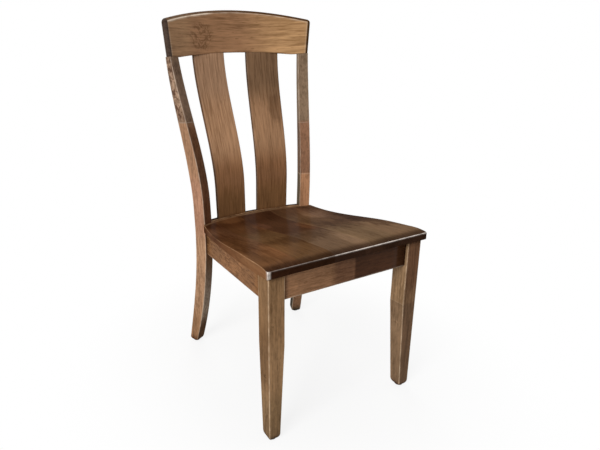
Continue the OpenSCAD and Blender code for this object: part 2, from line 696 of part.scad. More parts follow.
// Glides under the feet, each with the nail that holds it
rear_foot = post_corner(glide_h, post_foot_depth / 2, post_w / 2);
module at_rear_foot() translate([rear_foot[0], rear_foot[1], 0]) children();
nail_head_h = 0.8;
nail_head_d = 7;
nail_gap = 0.05;
glide_edge = 0.6;
module nail(gap) {
    head_z = glide_h - nail_head_h;
    rod(nail_head_d + 2 * gap, head_z - gap, nail_head_h + gap);
    rod(nail_d + 2 * gap, head_z, nail_len + gap);
}
module glide_disc() difference() {
    union() {
        rod(glide_d, glide_edge, glide_h - glide_edge);
        rod(glide_d - 2 * glide_edge, 0, glide_edge, glide_d);
    }
    nail(nail_gap);
}
module at_front_foot() translate([leg_middle, leg_middle_y, 0]) children();
module glide_front(side) color(nylon) centred() on_side(side) at_front_foot() glide_disc();
module glide_rear(side) color(nylon) centred() on_side(side) at_rear_foot() glide_disc();
module glide_nails() color(steel) centred() for (side = [-1, 1]) on_side(side) {
    at_front_foot() nail(0);
    at_rear_foot() nail(0);
}

crest_rail();
back_slat(-1);  // back_slat_left
back_slat(1);  // back_slat_right
back_post(-1);  // back_post_left
back_post(1);  // back_post_right
seat_board(1);  // seat_board_1
seat_board(2);  // seat_board_2
seat_board(3);  // seat_board_3
seat_board(4);  // seat_board_4
seat_board(5);  // seat_board_5
front_leg(-1);  // front_leg_left
front_leg(1);  // front_leg_right
front_rail();
side_rail(-1);  // side_rail_left
side_rail(1);  // side_rail_right
rear_rail();
corner_block_front(-1);  // corner_block_front_left
corner_block_front(1);  // corner_block_front_right
corner_block_rear(-1);  // corner_block_rear_left
corner_block_rear(1);  // corner_block_rear_right
glide_front(-1);  // glide_front_left
glide_front(1);  // glide_front_right
glide_rear(-1);  // glide_rear_left
glide_rear(1);  // glide_rear_right
block_screws();
seat_screws();
glide_nails();
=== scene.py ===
# %% [markdown]
# # A stained hardwood side chair
#
# This file dresses the chair's CAD model in Blender. The pieces that show get finer surfaces
# with eased edges, and every piece gets a finish made from noise and growth rings. Each step
# says what the real piece is, how it could be made, and why this way was chosen.

import math
from functools import partialmethod

import bpy
import numpy as np
from mathutils import Matrix, Vector


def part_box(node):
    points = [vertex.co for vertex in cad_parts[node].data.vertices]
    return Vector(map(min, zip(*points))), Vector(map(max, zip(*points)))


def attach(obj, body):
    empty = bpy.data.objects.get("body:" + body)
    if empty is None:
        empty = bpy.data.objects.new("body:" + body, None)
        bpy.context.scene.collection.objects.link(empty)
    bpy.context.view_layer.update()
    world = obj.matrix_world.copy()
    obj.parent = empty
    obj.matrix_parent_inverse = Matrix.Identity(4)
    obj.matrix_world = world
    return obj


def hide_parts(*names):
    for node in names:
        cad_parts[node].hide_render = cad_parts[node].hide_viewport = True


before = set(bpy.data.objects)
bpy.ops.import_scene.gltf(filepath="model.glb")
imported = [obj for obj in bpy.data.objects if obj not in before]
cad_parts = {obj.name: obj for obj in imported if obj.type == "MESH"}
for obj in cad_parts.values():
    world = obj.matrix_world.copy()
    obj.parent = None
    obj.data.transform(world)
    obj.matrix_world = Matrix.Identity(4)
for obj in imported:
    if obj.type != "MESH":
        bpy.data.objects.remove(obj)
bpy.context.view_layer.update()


def short(numbers):
    """Numbers to a tenth of a millimetre, for printing."""
    return [round(v, 4) for v in numbers]


# %% [markdown]
# ## The drawing board
#
# All lengths are metres. Some are read from the CAD pieces, so that the surfaces follow when
# the model changes, and the rest repeat the model's own sizes. The distance y is counted from
# the front of the front legs, as on the drawing board; `place` moves it into the shared frame.
# A chair is full of arcs and easy bends, and each is a short formula on whole arrays.

# %% Sizes read from a front leg
leg_low, leg_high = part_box("front_leg_right")
FRONT_Y = leg_low.y
LEG_HALF_SPAN = leg_high.x
LEG_W = leg_high.x - leg_low.x
FLOOR_GAP = leg_low.z
print("front of the legs and a leg's width", short((FRONT_Y, LEG_W)))


# %% Formulas that several pieces share
def sag(r, x):
    """How far a circle of radius r has dropped at distance x from its highest point:
    r minus the square root of r squared minus x squared."""
    return r - np.sqrt(np.maximum(r * r - x * x, 0))


def ease(t):
    """An S curve from 0 to 1 with level ends: three t squared minus two t cubed."""
    c = np.clip(t, 0, 1)
    return c * c * (3 - 2 * c)


def step(v, start, length):
    """The same S curve, from 0 at start to 1 one length further on."""
    return ease((v - start) / length)


def fade(distance, reach, power=2):
    """Falls from 1 at distance 0: e to the minus (distance over reach) to a power. A high power
    stops sharply."""
    return np.exp(-((distance / reach) ** power))


def quarter(count):
    """Angles from nothing to a right angle."""
    return np.radians(np.linspace(0, 90, count))


def mix(a, b, t):
    """Straight blend from a to b."""
    return a + (b - a) * t


def rings_at(x, y, z):
    """Rings of points from arrays of x, y and z, stretched to the same stations and points."""
    return np.stack(np.broadcast_arrays(x, y, z), -1)


def place(points, side=1):
    """Moves drawing-board points into the shared frame; side -1 mirrors them to the left."""
    moved = np.array(points, dtype=float)
    moved[..., 0] *= side
    moved[..., 1] += FRONT_Y
    return moved


# %% [markdown]
# ## Turning rings of points into a piece
#
# Nearly every stick of a chair is a section carried along a path. A section here is a ring of
# points, and a piece is an array of rings, joined by four-sided faces. More arrays go into the
# mesh as attributes that tell the finish where to work: one where the stain is rubbed through
# on the arrises and highlights are painted there, one where the stain sank in and shade is
# painted, `burl` where the wood is flecked and `grey` where it looks grey. A bent board also
# has `unbent`, each point's place before the bend, so that the grain follows the bend.

# %% Rings to mesh
def add_object(name, data):
    """Puts a mesh, a lamp or a camera into the scene."""
    obj = bpy.data.objects.new(name, data)
    bpy.context.scene.collection.objects.link(obj)
    return obj


def ring_faces(n, m):
    """Faces over n rings of m points: ring i point j meets ring i + 1 point j + 1. Each end is
    closed by quads between point j and point m - 1 - j."""
    grid = np.arange(n * m).reshape(n, m)
    a, b = grid[:-1], grid[1:]
    sides = np.stack([a, np.roll(a, -1, 1), np.roll(b, -1, 1), b], -1).reshape(-1, 4)
    j = np.arange(m // 2 - 1)
    cap = np.stack([j, m - 1 - j, m - 2 - j, j + 1], -1)
    return np.concatenate([sides, cap, (cap + (n - 1) * m)[:, ::-1]])


def build_piece(name, rings, wear=0, soak=0, flat=None, burl=0, grey=0):
    """Makes a mesh of rings (n by m by 3), faces outwards, in place of the CAD node of that name.
    The attributes are arrays over the points; flat is `unbent`."""
    n, m = rings.shape[:2]
    faces = ring_faces(n, m)
    verts = rings.reshape(-1, 3)
    quad = verts[faces]
    normal = np.cross(quad[:, 2] - quad[:, 0], quad[:, 3] - quad[:, 1])
    volume = np.einsum("ij,ij->", normal, quad.mean(1) - verts.mean(0))
    if volume < 0:
        faces = faces[:, ::-1]
    mesh = bpy.data.meshes.new(name + "_dressed")
    mesh.from_pydata(verts, [], faces)
    mesh.polygons.foreach_set("use_smooth", np.arange(len(faces)) < (n - 1) * m)
    for key, value in (("wear", wear), ("soak", soak), ("burl", burl), ("grey", grey)):
        layer = mesh.attributes.new(key, "FLOAT", "POINT")
        layer.data.foreach_set("value", np.broadcast_to(value, (n, m)).astype(np.float32).ravel())
    if flat is not None:
        layer = mesh.attributes.new("unbent", "FLOAT_VECTOR", "POINT")
        layer.data.foreach_set("vector", flat.astype(np.float32).ravel())
    obj = add_object(name + "_dressed", mesh)
    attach(obj, "root")
    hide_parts(name)
    print(obj.name, len(faces), "faces")
    return obj


def make_pair(make, name):
    """Makes the left (-1) and the right (1) piece of a pair."""
    return {s: make(s, name + end) for s, end in ((-1, "_left"), (1, "_right"))}


# %% Sections
# How far the pale arris mark reaches: bare wood and painted highlight.
WEAR_REACH = 0.0018
FACE_SHARP = 0.001
EASE = 0.0016


def side_fractions(count):
    """Places along a side between 0 and 1 that crowd towards both of its ends."""
    near, tip = 0.06, 0.06 * 0.35
    return np.concatenate([[tip], mix(near, 1 - near, np.linspace(0, 1, count)), [1 - tip]])


def rounded_section(w, d, r, per_side=3):
    """Rounded rectangle from (0, 0) to (w, d): four quarter circles of radius r joined by
    straight sides. w, d and r are arrays over the stations. Gives the points and the pale arris
    mark, bare wood and painted highlight, which falls off with the distance from the nearest
    corner."""
    w, d, r = (np.asarray(v, dtype=float)[:, None] for v in np.broadcast_arrays(w, d, r))
    centres = [(w - r, r, -90), (w - r, d - r, 0), (r, d - r, 90), (r, r, 180)]
    parts_u, parts_v = [], []
    for k, (cu, cv, start) in enumerate(centres):
        a = np.radians(start + np.linspace(0, 90, 5))
        u, v = cu + r * np.cos(a), cv + r * np.sin(a)
        next_u, next_v, next_start = centres[(k + 1) % 4]
        b = math.radians(next_start)
        f = side_fractions(per_side)
        parts_u += [u, mix(u[:, -1:], next_u + r * math.cos(b), f)]
        parts_v += [v, mix(v[:, -1:], next_v + r * math.sin(b), f)]
    u, v = np.concatenate(parts_u, 1), np.concatenate(parts_v, 1)
    return u, v, fade(np.minimum(u, w - u) + np.minimum(v, d - v), WEAR_REACH)


def on_face(distance, amount):
    """An amount that covers one face and stops at its arris."""
    return amount * fade(distance, FACE_SHARP, 4)


# %% Rounded feet
FOOT_ROUND_IN = 0.007
FOOT_ROUND_UP = 0.015
FOOT_TOP = FLOOR_GAP + FOOT_ROUND_UP
FOOT_ARRIS = 0.6


def foot_heights():
    """Heights of the rounded foot, closer together towards the tip."""
    return FLOOR_GAP + FOOT_ROUND_UP * (1 - np.cos(quarter(10)))


def foot_pull(z):
    """How far the foot's faces have drawn in at height z: a quarter ellipse."""
    t = np.clip((FOOT_TOP - z) / FOOT_ROUND_UP, 0, 1)
    return FOOT_ROUND_IN * (1 - np.sqrt(1 - t * t))


def leg_section(w, d, pull):
    """Section of a leg whose faces have drawn in by pull and whose arrises grow rounder there."""
    return rounded_section(w - 2 * pull, d - 2 * pull, EASE + FOOT_ARRIS * pull)


def foot_soak(z, reach=0.01):
    """End grain at the foot drinks the stain, and painted shade darkens the rounded foot: 1 at the
    tip, fading over the given reach.
    """
    return fade(z - FLOOR_GAP, reach)


# %% [markdown]
# ## Back posts
#
# Each post is also a back leg, band-sawn to a sweep from one thick plank and turned in plan so
# that its front faces the middle of the back. A curve with a bevel could make it, but its
# depth changes along the way, so each height gets its own section instead. The foot is
# rounded off. Two of the posts' faces get painted shade, at heights that the photograph shows.

# %% Sweep of the posts
POST_HALF_SPAN = 0.1905
FRAME_DEPTH = 0.399
POST_WAIST_H = 0.444
POST_TURN = math.radians(23.7)
POST_SPLAY = math.radians(1.2)
POST_W = 0.0325
POST_DEPTH = 0.041
POST_FOOT_DEPTH = 0.031
POST_TOP_DEPTH = 0.02
FOOT_KICK = 0.077
TOP_RAKE = 0.083
SWEEP_START_H = 0.489
SWEEP_END_H = 0.997
POST_THIN_FROM = 0.572
POST_THIN_TO = 0.2
CREST_H = 0.9135


def post_front(z):
    """Sweep of a post's front edge: a parabola below the waist, an S curve above it."""
    below = FOOT_KICK * ((POST_WAIST_H - z) / POST_WAIST_H) ** 2
    run = SWEEP_END_H - SWEEP_START_H
    above = TOP_RAKE * step(z, SWEEP_START_H, run) / step(CREST_H, SWEEP_START_H, run)
    return np.where(z < POST_WAIST_H, below, above)


def post_depth(z):
    """Depth of a post from front to back: full at the seat, less at the foot and at the top."""
    foot = mix(POST_DEPTH, POST_FOOT_DEPTH, np.maximum((POST_THIN_TO - z) / POST_THIN_TO, 0) ** 2)
    up = np.maximum((z - POST_THIN_FROM) / (CREST_H - POST_THIN_FROM), 0)
    return np.where(z < POST_THIN_TO, foot, mix(POST_DEPTH, POST_TOP_DEPTH, up**1.3))


# %% Posts
POST_JOINT_H = 0.733
# Reach of a post's darker foot: end grain and painted shade.
POST_END_GRAIN = 0.018


def post_marks(side, z, u, v):
    """Painted shade, burl and grey of a post. The right post's inner face, which faces the slats,
    gets painted shade, in three lengths. The left post's front face, turned from the key light,
    gets painted shade below its joint and looks grey near the floor, and its outer face is
    flecked above the joint."""
    if side > 0:
        amount = 0.86 - 0.4 * step(z, 0.535, 0.015) - 0.46 * step(z, 0.69, 0.03)
        return on_face(POST_W - u, amount), 0, 0
    thin = step(z, 0.06, 0.07) * (1 - step(z, 0.13, 0.2))
    amount = (0.85 - 0.09 * step(z, 0.4, 0.06)) * (1 - thin) - 0.54 * step(z, 0.7, 0.06)
    burl = on_face(u, step(z, POST_JOINT_H, 0.012))
    return on_face(v, amount), burl, on_face(v, 1 - step(z, 0.3, 0.06))


def make_post(side, name):
    """Sections at each height: front at post_front(z), depth post_depth(z), turned in plan."""
    z = np.concatenate([foot_heights(), np.linspace(FOOT_TOP, CREST_H, 72)[1:]])
    pull, front = foot_pull(z), post_front(z)[:, None]
    u, v, wear = leg_section(POST_W, post_depth(z), pull)
    z, pull = z[:, None], pull[:, None]
    soak, burl, grey = post_marks(side, z, u, v)
    soak = np.maximum(foot_soak(z, POST_END_GRAIN), soak)
    u, v = u + pull, v + (pull + front)
    lean = (z - POST_WAIST_H) * math.tan(POST_SPLAY)
    x = POST_HALF_SPAN + lean + v * math.sin(POST_TURN) - u * math.cos(POST_TURN)
    y = FRAME_DEPTH + v * math.cos(POST_TURN) + u * math.sin(POST_TURN)
    rings = place(rings_at(x, y, z), side)
    return build_piece(name, rings, wear, soak, burl=burl, grey=grey)


posts = make_pair(make_post, "back_post")

# %% [markdown]
# ## Front legs
#
# A square leg whose outer faces stay upright while its inner faces taper below the rails.
# The section shrinks away from the outer corner, so that corner stays a straight line. One
# face of each leg is darker: the left leg's outer face in its middle, and the right leg's
# front face with painted shade, deepest under the seat. The right leg shows a glue line.

# %% Underside of the seat, where the legs end
SEAT_FRONT_H = 0.451
SEAT_BAND = 0.0182
SEAT_OVER = 0.0085
SEAT_SLOPE = math.radians(3)


def seat_under(y):
    """Height of the seat's flat underside, which falls to the back."""
    return SEAT_FRONT_H - SEAT_BAND - (y + SEAT_OVER) * math.tan(SEAT_SLOPE)


# %% Front legs
LEG_FOOT_W = 0.031
LEG_TAPER_H = 0.256
LEG_JOINT_H = 0.259
LEG_JOINT_LINE = 0.0008


def make_leg(side, name):
    """Square sections that share their outer front corner; the side falls linearly with height.
    Three stations close together carry the glue line."""
    z = np.sort(np.concatenate([
        foot_heights(),
        np.linspace(FOOT_TOP, LEG_TAPER_H, 14)[1:],
        np.linspace(LEG_TAPER_H, seat_under(LEG_W / 2) + 0.002, 10)[1:],
        LEG_JOINT_H + np.array([-0.0014, 0, 0.0014]),
    ]))
    full = mix(LEG_FOOT_W, LEG_W, np.clip((z - FOOT_TOP) / (LEG_TAPER_H - FOOT_TOP), 0, 1))
    pull = foot_pull(z)
    u, v, wear = leg_section(full, full, pull)
    z, full, pull = z[:, None], full[:, None], pull[:, None]
    # Left leg: outer face darker in its middle. Right leg: painted shade on the front face, deeper
    # towards the seat.
    if side < 0:
        soak = on_face(u, step(z, 0.12, 0.05) * (0.53 - 0.29 * step(z, 0.28, 0.05)))
    else:
        soak = on_face(v, 0.37 + 0.25 * step(z, 0.27, 0.06))
        line = 0.4 * fade(z - LEG_JOINT_H, LEG_JOINT_LINE)
        wear = np.maximum(wear, on_face(full - 2 * pull - u, line))
    rings = rings_at(LEG_HALF_SPAN - u - pull, v + pull, z)
    return build_piece(name, place(rings, side), wear, np.maximum(foot_soak(z), soak))


legs = make_pair(make_leg, "front_leg")

# %% [markdown]
# ## Rails under the seat
#
# Plain boards on edge. The side rails get deeper to the back, because their lower edge falls
# faster than the seat. A box would do, but not for their slope and eased arrises. All ends
# stop just inside the wood that they meet, where the tenons would be.

# %% Rails
RAIL_T = 0.02
RAIL_H = 0.065
RAIL_REAR_DROP = 0.007
RAIL_SETBACK = 0.007
SIDE_SETBACK = 0.005
REAR_HALF_RUN = 0.17
rail_low, rear_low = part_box("front_rail")[0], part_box("rear_rail")[0]
rear_y = rear_low.y - FRONT_Y
side_front_x = LEG_HALF_SPAN - SIDE_SETBACK
side_turn = math.atan2(side_front_x - (POST_HALF_SPAN - SIDE_SETBACK), FRAME_DEPTH - LEG_W)
side_run = (FRAME_DEPTH - LEG_W) / math.cos(side_turn)


def make_straight_rail(name, y0, half, low, high):
    """One section carried along x from -half to half."""
    x = np.linspace(-half, half, 9)[:, None]
    u, v, wear = rounded_section(np.full(len(x), RAIL_T), high - low, EASE)
    return build_piece(name, place(rings_at(x, y0 + u, low + v)), wear)


def make_side_rail(side, name):
    """A section carried along the rail's own length, whose lower edge falls to the back."""
    s = np.linspace(-0.001, side_run + 0.012, 12)
    under = seat_under(LEG_W + s * math.cos(side_turn))
    high = under + 0.001
    low = under - mix(RAIL_H, RAIL_H + RAIL_REAR_DROP, s / side_run)
    u, v, wear = rounded_section(RAIL_T, high - low, EASE)
    s, low = s[:, None], low[:, None]
    x = side_front_x - s * math.sin(side_turn) - u * math.cos(side_turn)
    y = LEG_W + s * math.cos(side_turn) - u * math.sin(side_turn)
    return build_piece(name, place(rings_at(x, y, low + v), side), wear)


front_rail = make_straight_rail("front_rail", RAIL_SETBACK, LEG_HALF_SPAN - LEG_W + 0.001,
                                rail_low.z, seat_under(RAIL_SETBACK) + 0.0005)
rear_rail = make_straight_rail("rear_rail", rear_y, REAR_HALF_RUN,
                               rear_low.z, seat_under(rear_y + RAIL_T) + 0.0008)
side_rails = make_pair(make_side_rail, "side_rail")

# %% [markdown]
# ## The scooped seat
#
# Five boards are glued edge to edge and hollowed as one. Sculpting could do it, but a formula
# keeps to the model: a sloping plane, minus the roll at the front edge, minus the scoop, which
# is deepest two thirds of the way back and ends at a rim on the circle of the back. Each board
# is a ring around its own edge, carried sideways from seam to seam, so that two neighbours
# share the same heights. The front arris, the rim and the sides are pale, partly bare wood and
# partly painted highlight; the edge is dark.

# %% Seat surface
SEAT_T = 0.0245
SEAT_RISE = SEAT_T / math.cos(SEAT_SLOPE)
SEAT_REAR_HALF_W = 0.194
SEAT_BOW = 0.009
SEAT_CORNER_R = 0.005
FRONT_ROLL = 0.04
SCOOP_DEPTH = 0.013
SCOOP_EDGE_DEPTH = 0.0079
SCOOP_START = 0.095
BACK_R = 0.54
RIM_Y = 0.4455
RIM_BEND_FROM = 0.15
RIM_BEND = 5
LAND_DEPTH = 0.021


def rim_line(x):
    """Where the scoop ends: the circle of the back, bent forward past the slats."""
    return RIM_Y - sag(BACK_R, x) - RIM_BEND * np.maximum(np.abs(x) - RIM_BEND_FROM, 0) ** 2


def rear_edge(x):
    """The rear edge of the seat: the same circle, moved back by the land."""
    return RIM_Y + LAND_DEPTH - sag(BACK_R + LAND_DEPTH, x)


def side_edge(y):
    """Half width of the seat at y: a straight taper, a bulge of four t times one minus t, a
    rounded front corner, and behind the posts' fronts a corner that hides inside the post."""
    t = np.clip((y + SEAT_OVER) / (FRAME_DEPTH + SEAT_OVER), 0, 1)
    half = mix(LEG_HALF_SPAN + SEAT_OVER, SEAT_REAR_HALF_W, t) + SEAT_BOW * 4 * t * (1 - t)
    corner = sag(SEAT_CORNER_R, np.clip(SEAT_CORNER_R - (y + SEAT_OVER), 0, SEAT_CORNER_R))
    past_post = y - (FRAME_DEPTH - 0.0015)
    return half - corner - np.clip(1.5 * past_post, 0, SEAT_REAR_HALF_W - POST_HALF_SPAN)


def seat_top(x, y):
    """Plane minus roll minus scoop. The scoop is its depth times 6.75 u squared times (1 - u),
    where u runs from 0 at its start to 1 at the rim."""
    drop = seat_under(-SEAT_OVER) + SEAT_RISE - SEAT_FRONT_H
    roll = drop * np.maximum(1 - (y + SEAT_OVER) / FRONT_ROLL, 0) ** 2
    u = np.clip((y - SCOOP_START) / (rim_line(x) - SCOOP_START), 0, 1)
    depth = mix(SCOOP_DEPTH, SCOOP_EDGE_DEPTH, (x / (LEG_HALF_SPAN + SEAT_OVER)) ** 2)
    return seat_under(y) + SEAT_RISE - roll - depth * 6.75 * u * u * (1 - u)


# %% Stations of the seat boards
BOARD_EDGES = (-0.145, -0.055, 0.055, 0.145)
EDGE_R = 0.0016
SEAM_RING = 0.0003
ROLL_STEPS = (0, 0.0018, 0.0018, 0.002, 0.002, 0.003, 0.003, 0.004, 0.004, 0.005, 0.006)
board_y = np.concatenate([
    np.cumsum(ROLL_STEPS) + EDGE_R - SEAT_OVER,
    np.linspace(0.034, SCOOP_START, 8)[:-1],
    SCOOP_START + (RIM_Y - SCOOP_START) * np.sin(np.linspace(0, math.pi / 2, 46))[:-2],
    RIM_Y + np.array([-0.005, -0.002, 0, 0.0015, 0.004, 0.009, 0.014]),
])


def board_plan(inner, outer, t, q):
    """x and y of stations q on the rings t of a board. Behind the start of the scoop, y is q
    stretched to end on the curved rear edge. With an outer edge, the rings spread from the inner
    seam to that edge."""
    back = (q - SCOOP_START) / (RIM_Y + LAND_DEPTH - SCOOP_START)
    if outer:
        edge_y = np.where(q < SCOOP_START, q, mix(SCOOP_START, rear_edge(SEAT_REAR_HALF_W), back))
        x = inner + (outer * side_edge(edge_y) - inner) * t
    else:
        x = t + 0 * q
    return x, np.where(q < SCOOP_START, q, mix(SCOOP_START, rear_edge(x), back))


def board_rings(k):
    """Inner seam of board k, its outer side (-1, 1, or 0 for none), the places t of its rings,
    and how far they draw in, by a quarter circle, to ease the seat's side."""
    outer = {1: -1, 5: 1}.get(k, 0)
    if not outer:
        left, right = BOARD_EDGES[k - 2:k]
        t = [[left], np.linspace(left + SEAM_RING, right - SEAM_RING, 18), [right]]
        return 0, outer, np.concatenate(t)[:, None], 0
    inner = BOARD_EDGES[0] if k == 1 else BOARD_EDGES[3]
    reach = LEG_HALF_SPAN + SEAT_OVER - abs(inner)
    tip = EDGE_R * (1 - np.cos(quarter(6)))
    near = EDGE_R + np.array([0.0015, 0.004])
    d = np.concatenate([tip, near, np.linspace(0.01, reach - SEAM_RING, 13), [reach]])[:, None]
    return inner, outer, 1 - d / reach, sag(EDGE_R, np.clip(EDGE_R - d, 0, EDGE_R))


# %% Wear, stain and painted highlight of the seat
ON_TOP = 0.001


def board_marks(k, outer, x, y, z):
    """Pale arrises, bare wood and painted highlight, and darker edges of a board's points, from
    their distance to the seat's top, front edge, side and rim. Board 1's front corner gets a
    painted highlight."""
    above, front = np.abs(z - seat_top(x, y)), np.abs(y + SEAT_OVER)
    side = np.abs(side_edge(y) - np.abs(x)) if outer else 1
    past_rim = y - rim_line(x)
    on_top = above < ON_TOP
    # The front arris's painted highlight is weak at the left and full from the middle on.
    handled = 0.18 + 0.82 * step(x, -0.14, 0.16)
    slope = step(past_rim, -0.016, 0.006) * (past_rim < 0.0005)
    # Pale arrises, partly bare wood and partly painted highlight; the last entry, on board 1's front
    # corner, is painted highlight only.
    wear = [
        1.25 * handled * fade(above + front, 0.0011, 6),
        0.7 * fade(above + side, 0.0013, 4),
        on_top * np.maximum(0.78 * fade(past_rim, 0.0032), 0.2 * slope),
        0.9 * (k == 1) * fade(front + side, 0.0035, 4),
    ]
    soak = [
        fade(front, 0.0012, 4) * ~on_top,
        0.81 * fade(front, 0.021, 4) * on_top,
        0.1 * fade(side, 0.0012, 4) * ~on_top,
        0.3 * (past_rim > 0.001) * on_top,
    ]
    return np.max(np.stack(wear), 0), np.max(np.stack(soak), 0)


# %% Seat boards
def make_board(k):
    """Rings round a board's edge in y and z, from seam to seam or from the seam to the side. Top
    and underside have the same stations, so that the caps at the seams are clean."""
    inner, outer, t, pull = board_rings(k)
    x, y = board_plan(inner, outer, t, board_y[None, :])
    front = -SEAT_OVER + pull
    rear = rear_edge(x[:, -1:]) - pull
    y = np.clip(y, front + EDGE_R, rear - EDGE_R)
    fx, rx = x[:, :1], x[:, -1:]
    front_top = seat_top(fx, front + EDGE_R) - pull
    rear_top = seat_top(rx, rear - EDGE_R) - pull
    front_low, rear_low = seat_under(front) + pull, seat_under(rear) + pull
    a = quarter(5)[None, :-1]
    c, n = EDGE_R * (1 - np.cos(a)), EDGE_R * (1 - np.sin(a))
    up = np.array([[0.18, 0.45]])
    down = 1 - up[:, ::-1]
    parts = [
        (fx, front, mix(front_low + EDGE_R, front_top - EDGE_R, down)),
        (fx, front + c, front_top - n),
        (x, y, seat_top(x, y) - pull),
        (rx, rear - c[:, ::-1], rear_top - n[:, ::-1]),
        (rx, rear, mix(rear_top - EDGE_R, rear_low + EDGE_R, up)),
        (rx, rear, mix(rear_top - EDGE_R, rear_low + EDGE_R, down)),
        (rx, rear - c, rear_low + n),
        (x[:, ::-1], y[:, ::-1], seat_under(y[:, ::-1]) + pull),
        (fx, front + c[:, ::-1], front_low + n[:, ::-1]),
        (fx, front, mix(front_low + EDGE_R, front_top - EDGE_R, up)),
    ]
    rings = np.concatenate([rings_at(*p) for p in parts], 1)
    wear, soak = board_marks(k, outer, *np.moveaxis(rings, -1, 0))
    return build_piece("seat_board_%d" % k, place(rings), wear, soak)


boards = {k: make_board(k) for k in range(1, 6)}

# %% [markdown]
# ## Back slats
#
# A slat is a flat board steamed to an S: upright at the seat, then raked back, then upright
# again where it enters the crest rail. A bend modifier gives one arc only, so its section is
# carried up a path. Its thin edges get painted shade. The slats end under the crest rail, so the
# rail's place and its arched underside come first.

# %% Place of the crest rail
CREST_UNDER_RISE = 0.0125
CREST_UNDER_HALF_W = 0.188
post_top = float(post_front(np.array(CREST_H)))
post_top_x = (POST_HALF_SPAN + (CREST_H - POST_WAIST_H) * math.tan(POST_SPLAY)
              + post_top * math.sin(POST_TURN))
crest_y = FRAME_DEPTH + post_top * math.cos(POST_TURN) + float(sag(BACK_R, post_top_x))
print("tops of the posts at x, middle of the crest rail at y", short((post_top_x, crest_y)))


def crest_under(x):
    """Underside of the crest rail: a shallow arch between two level ends."""
    r = (CREST_UNDER_HALF_W**2 + CREST_UNDER_RISE**2) / (2 * CREST_UNDER_RISE)
    arch = sag(r, np.minimum(np.abs(x), CREST_UNDER_HALF_W))
    return CREST_H + np.maximum(CREST_UNDER_RISE - arch, 0)


# %% Slats
SLAT_W = 0.1045
SLAT_TOP_W = 0.1075
SLAT_T = 0.0115
SLAT_X = 0.0733
SLAT_TURN = math.radians(7.6)
SLAT_SPLAY = math.radians(0.95)
SLAT_SETBACK = 0.0015
SLAT_HEAD_SETBACK = 0.003
SLAT_BEND_START_H = 0.523
SLAT_BEND_END_H = 0.938
SLAT_SOCKET = 0.011
SLAT_HEAD_IN = 0.006
SLAT_EDGE_SOAK = 0.75


def make_slat(side, name):
    """Thin sections that follow the S curve and widen slightly to the top. The sweep brings the
    slat's face to its place behind the face of the crest rail."""
    face_y = RIM_Y - float(sag(BACK_R, SLAT_X)) + SLAT_SETBACK
    foot = float(seat_under(face_y + SLAT_T / 2)) + SEAT_RISE - SLAT_SOCKET
    head_x = SLAT_X + TOP_RAKE * math.sin(SLAT_TURN) + (CREST_H - foot) * math.tan(SLAT_SPLAY)
    head_y = crest_y - float(sag(BACK_R, head_x)) + SLAT_HEAD_SETBACK
    rake = (head_y - face_y) / math.cos(SLAT_TURN)
    head = float(crest_under(head_x)) + SLAT_HEAD_IN
    z = np.concatenate([[foot], np.linspace(foot + 0.02, head - 0.02, 78), [head]])
    w = mix(SLAT_W, SLAT_TOP_W, (z - foot) / (head - foot))
    u, v, wear = rounded_section(w, SLAT_T, EASE, per_side=7)
    w, z = w[:, None], z[:, None]
    out = w / 2 - u + (z - foot) * math.tan(SLAT_SPLAY)
    back = v + rake * step(z, SLAT_BEND_START_H, SLAT_BEND_END_H - SLAT_BEND_START_H)
    x = SLAT_X + out * math.cos(SLAT_TURN) + back * math.sin(SLAT_TURN)
    y = face_y - out * math.sin(SLAT_TURN) + back * math.cos(SLAT_TURN)
    # Painted shade on both thin edges.
    soak = on_face(np.minimum(u, w - u), SLAT_EDGE_SOAK)
    flat = rings_at(side * (SLAT_X + out), v, z)
    return build_piece(name, place(rings_at(x, y, z), side), wear, soak, flat)


slats = make_pair(make_slat, "back_slat")

# %% [markdown]
# ## Crest rail
#
# One thick board, bowed in plan, arched above, with its upper edge and its ends rounded over
# by a router. A bevel would end in no arris, but the cutter leaves a fine one where the round
# meets the flat face, and there the stain rubs through, with a painted highlight that is
# strongest at the left, where the key light falls. So the section is worked out with that kink
# and carried round the bow. The rounds are darker.

# %% Section of the crest rail
CREST_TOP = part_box("crest_rail")[1].z
CREST_TOP_R = 0.852
CREST_T = 0.02
CREST_ROUND = 0.0085
KINK = math.radians(22)


def crest_top(x):
    """Arched top, a circle seen from the front."""
    return CREST_TOP - sag(CREST_TOP_R, x)


def round_over(c0, c1, ang0, ang1):
    """Arc from c0 to c1, scaled so that it starts on one face and ends on the other. Angles of
    less than a quarter turn leave an arris there."""
    ang = mix(ang0, ang1, np.linspace(0, 1, 8)[None, :])
    back = (np.cos(ang) - math.cos(ang0)) / (math.cos(ang1) - math.cos(ang0))
    up = (np.sin(ang) - math.sin(ang0)) / (math.sin(ang1) - math.sin(ang0))
    return mix(c0[0], c1[0], back), mix(c0[1], c1[1], up)


def crest_section(f, b, zb, zt, r):
    """Set back and height round the section, from front face f to back face b and from underside
    zb to top zt, with eased arrises below and rounds of radius r above."""
    e = np.minimum(EASE, 0.5 * (b - f))
    q = quarter(4)[None, :]
    in_, down = e * np.cos(q), e * np.sin(q)
    up, thirds = side_fractions(9)[None, :], np.array([[0.33, 0.67]])
    parts = [
        (f + e - in_[:, ::-1], zb + e - down[:, ::-1]),
        (f, mix(zb + e, zt - r, up)),
        round_over((f, zt - r), (f + r, zt), math.pi - KINK, math.pi / 2),
        (mix(f + r, b - r, thirds), zt),
        round_over((b - r, zt), (b, zt - r), math.pi / 2, KINK),
        (b, mix(zt - r, zb + e, up)),
        (b - e + in_, zb + e - down),
        (mix(b - e, f + e, thirds), zb),
    ]
    return np.concatenate([np.stack(np.broadcast_arrays(*p)) for p in parts], -1)


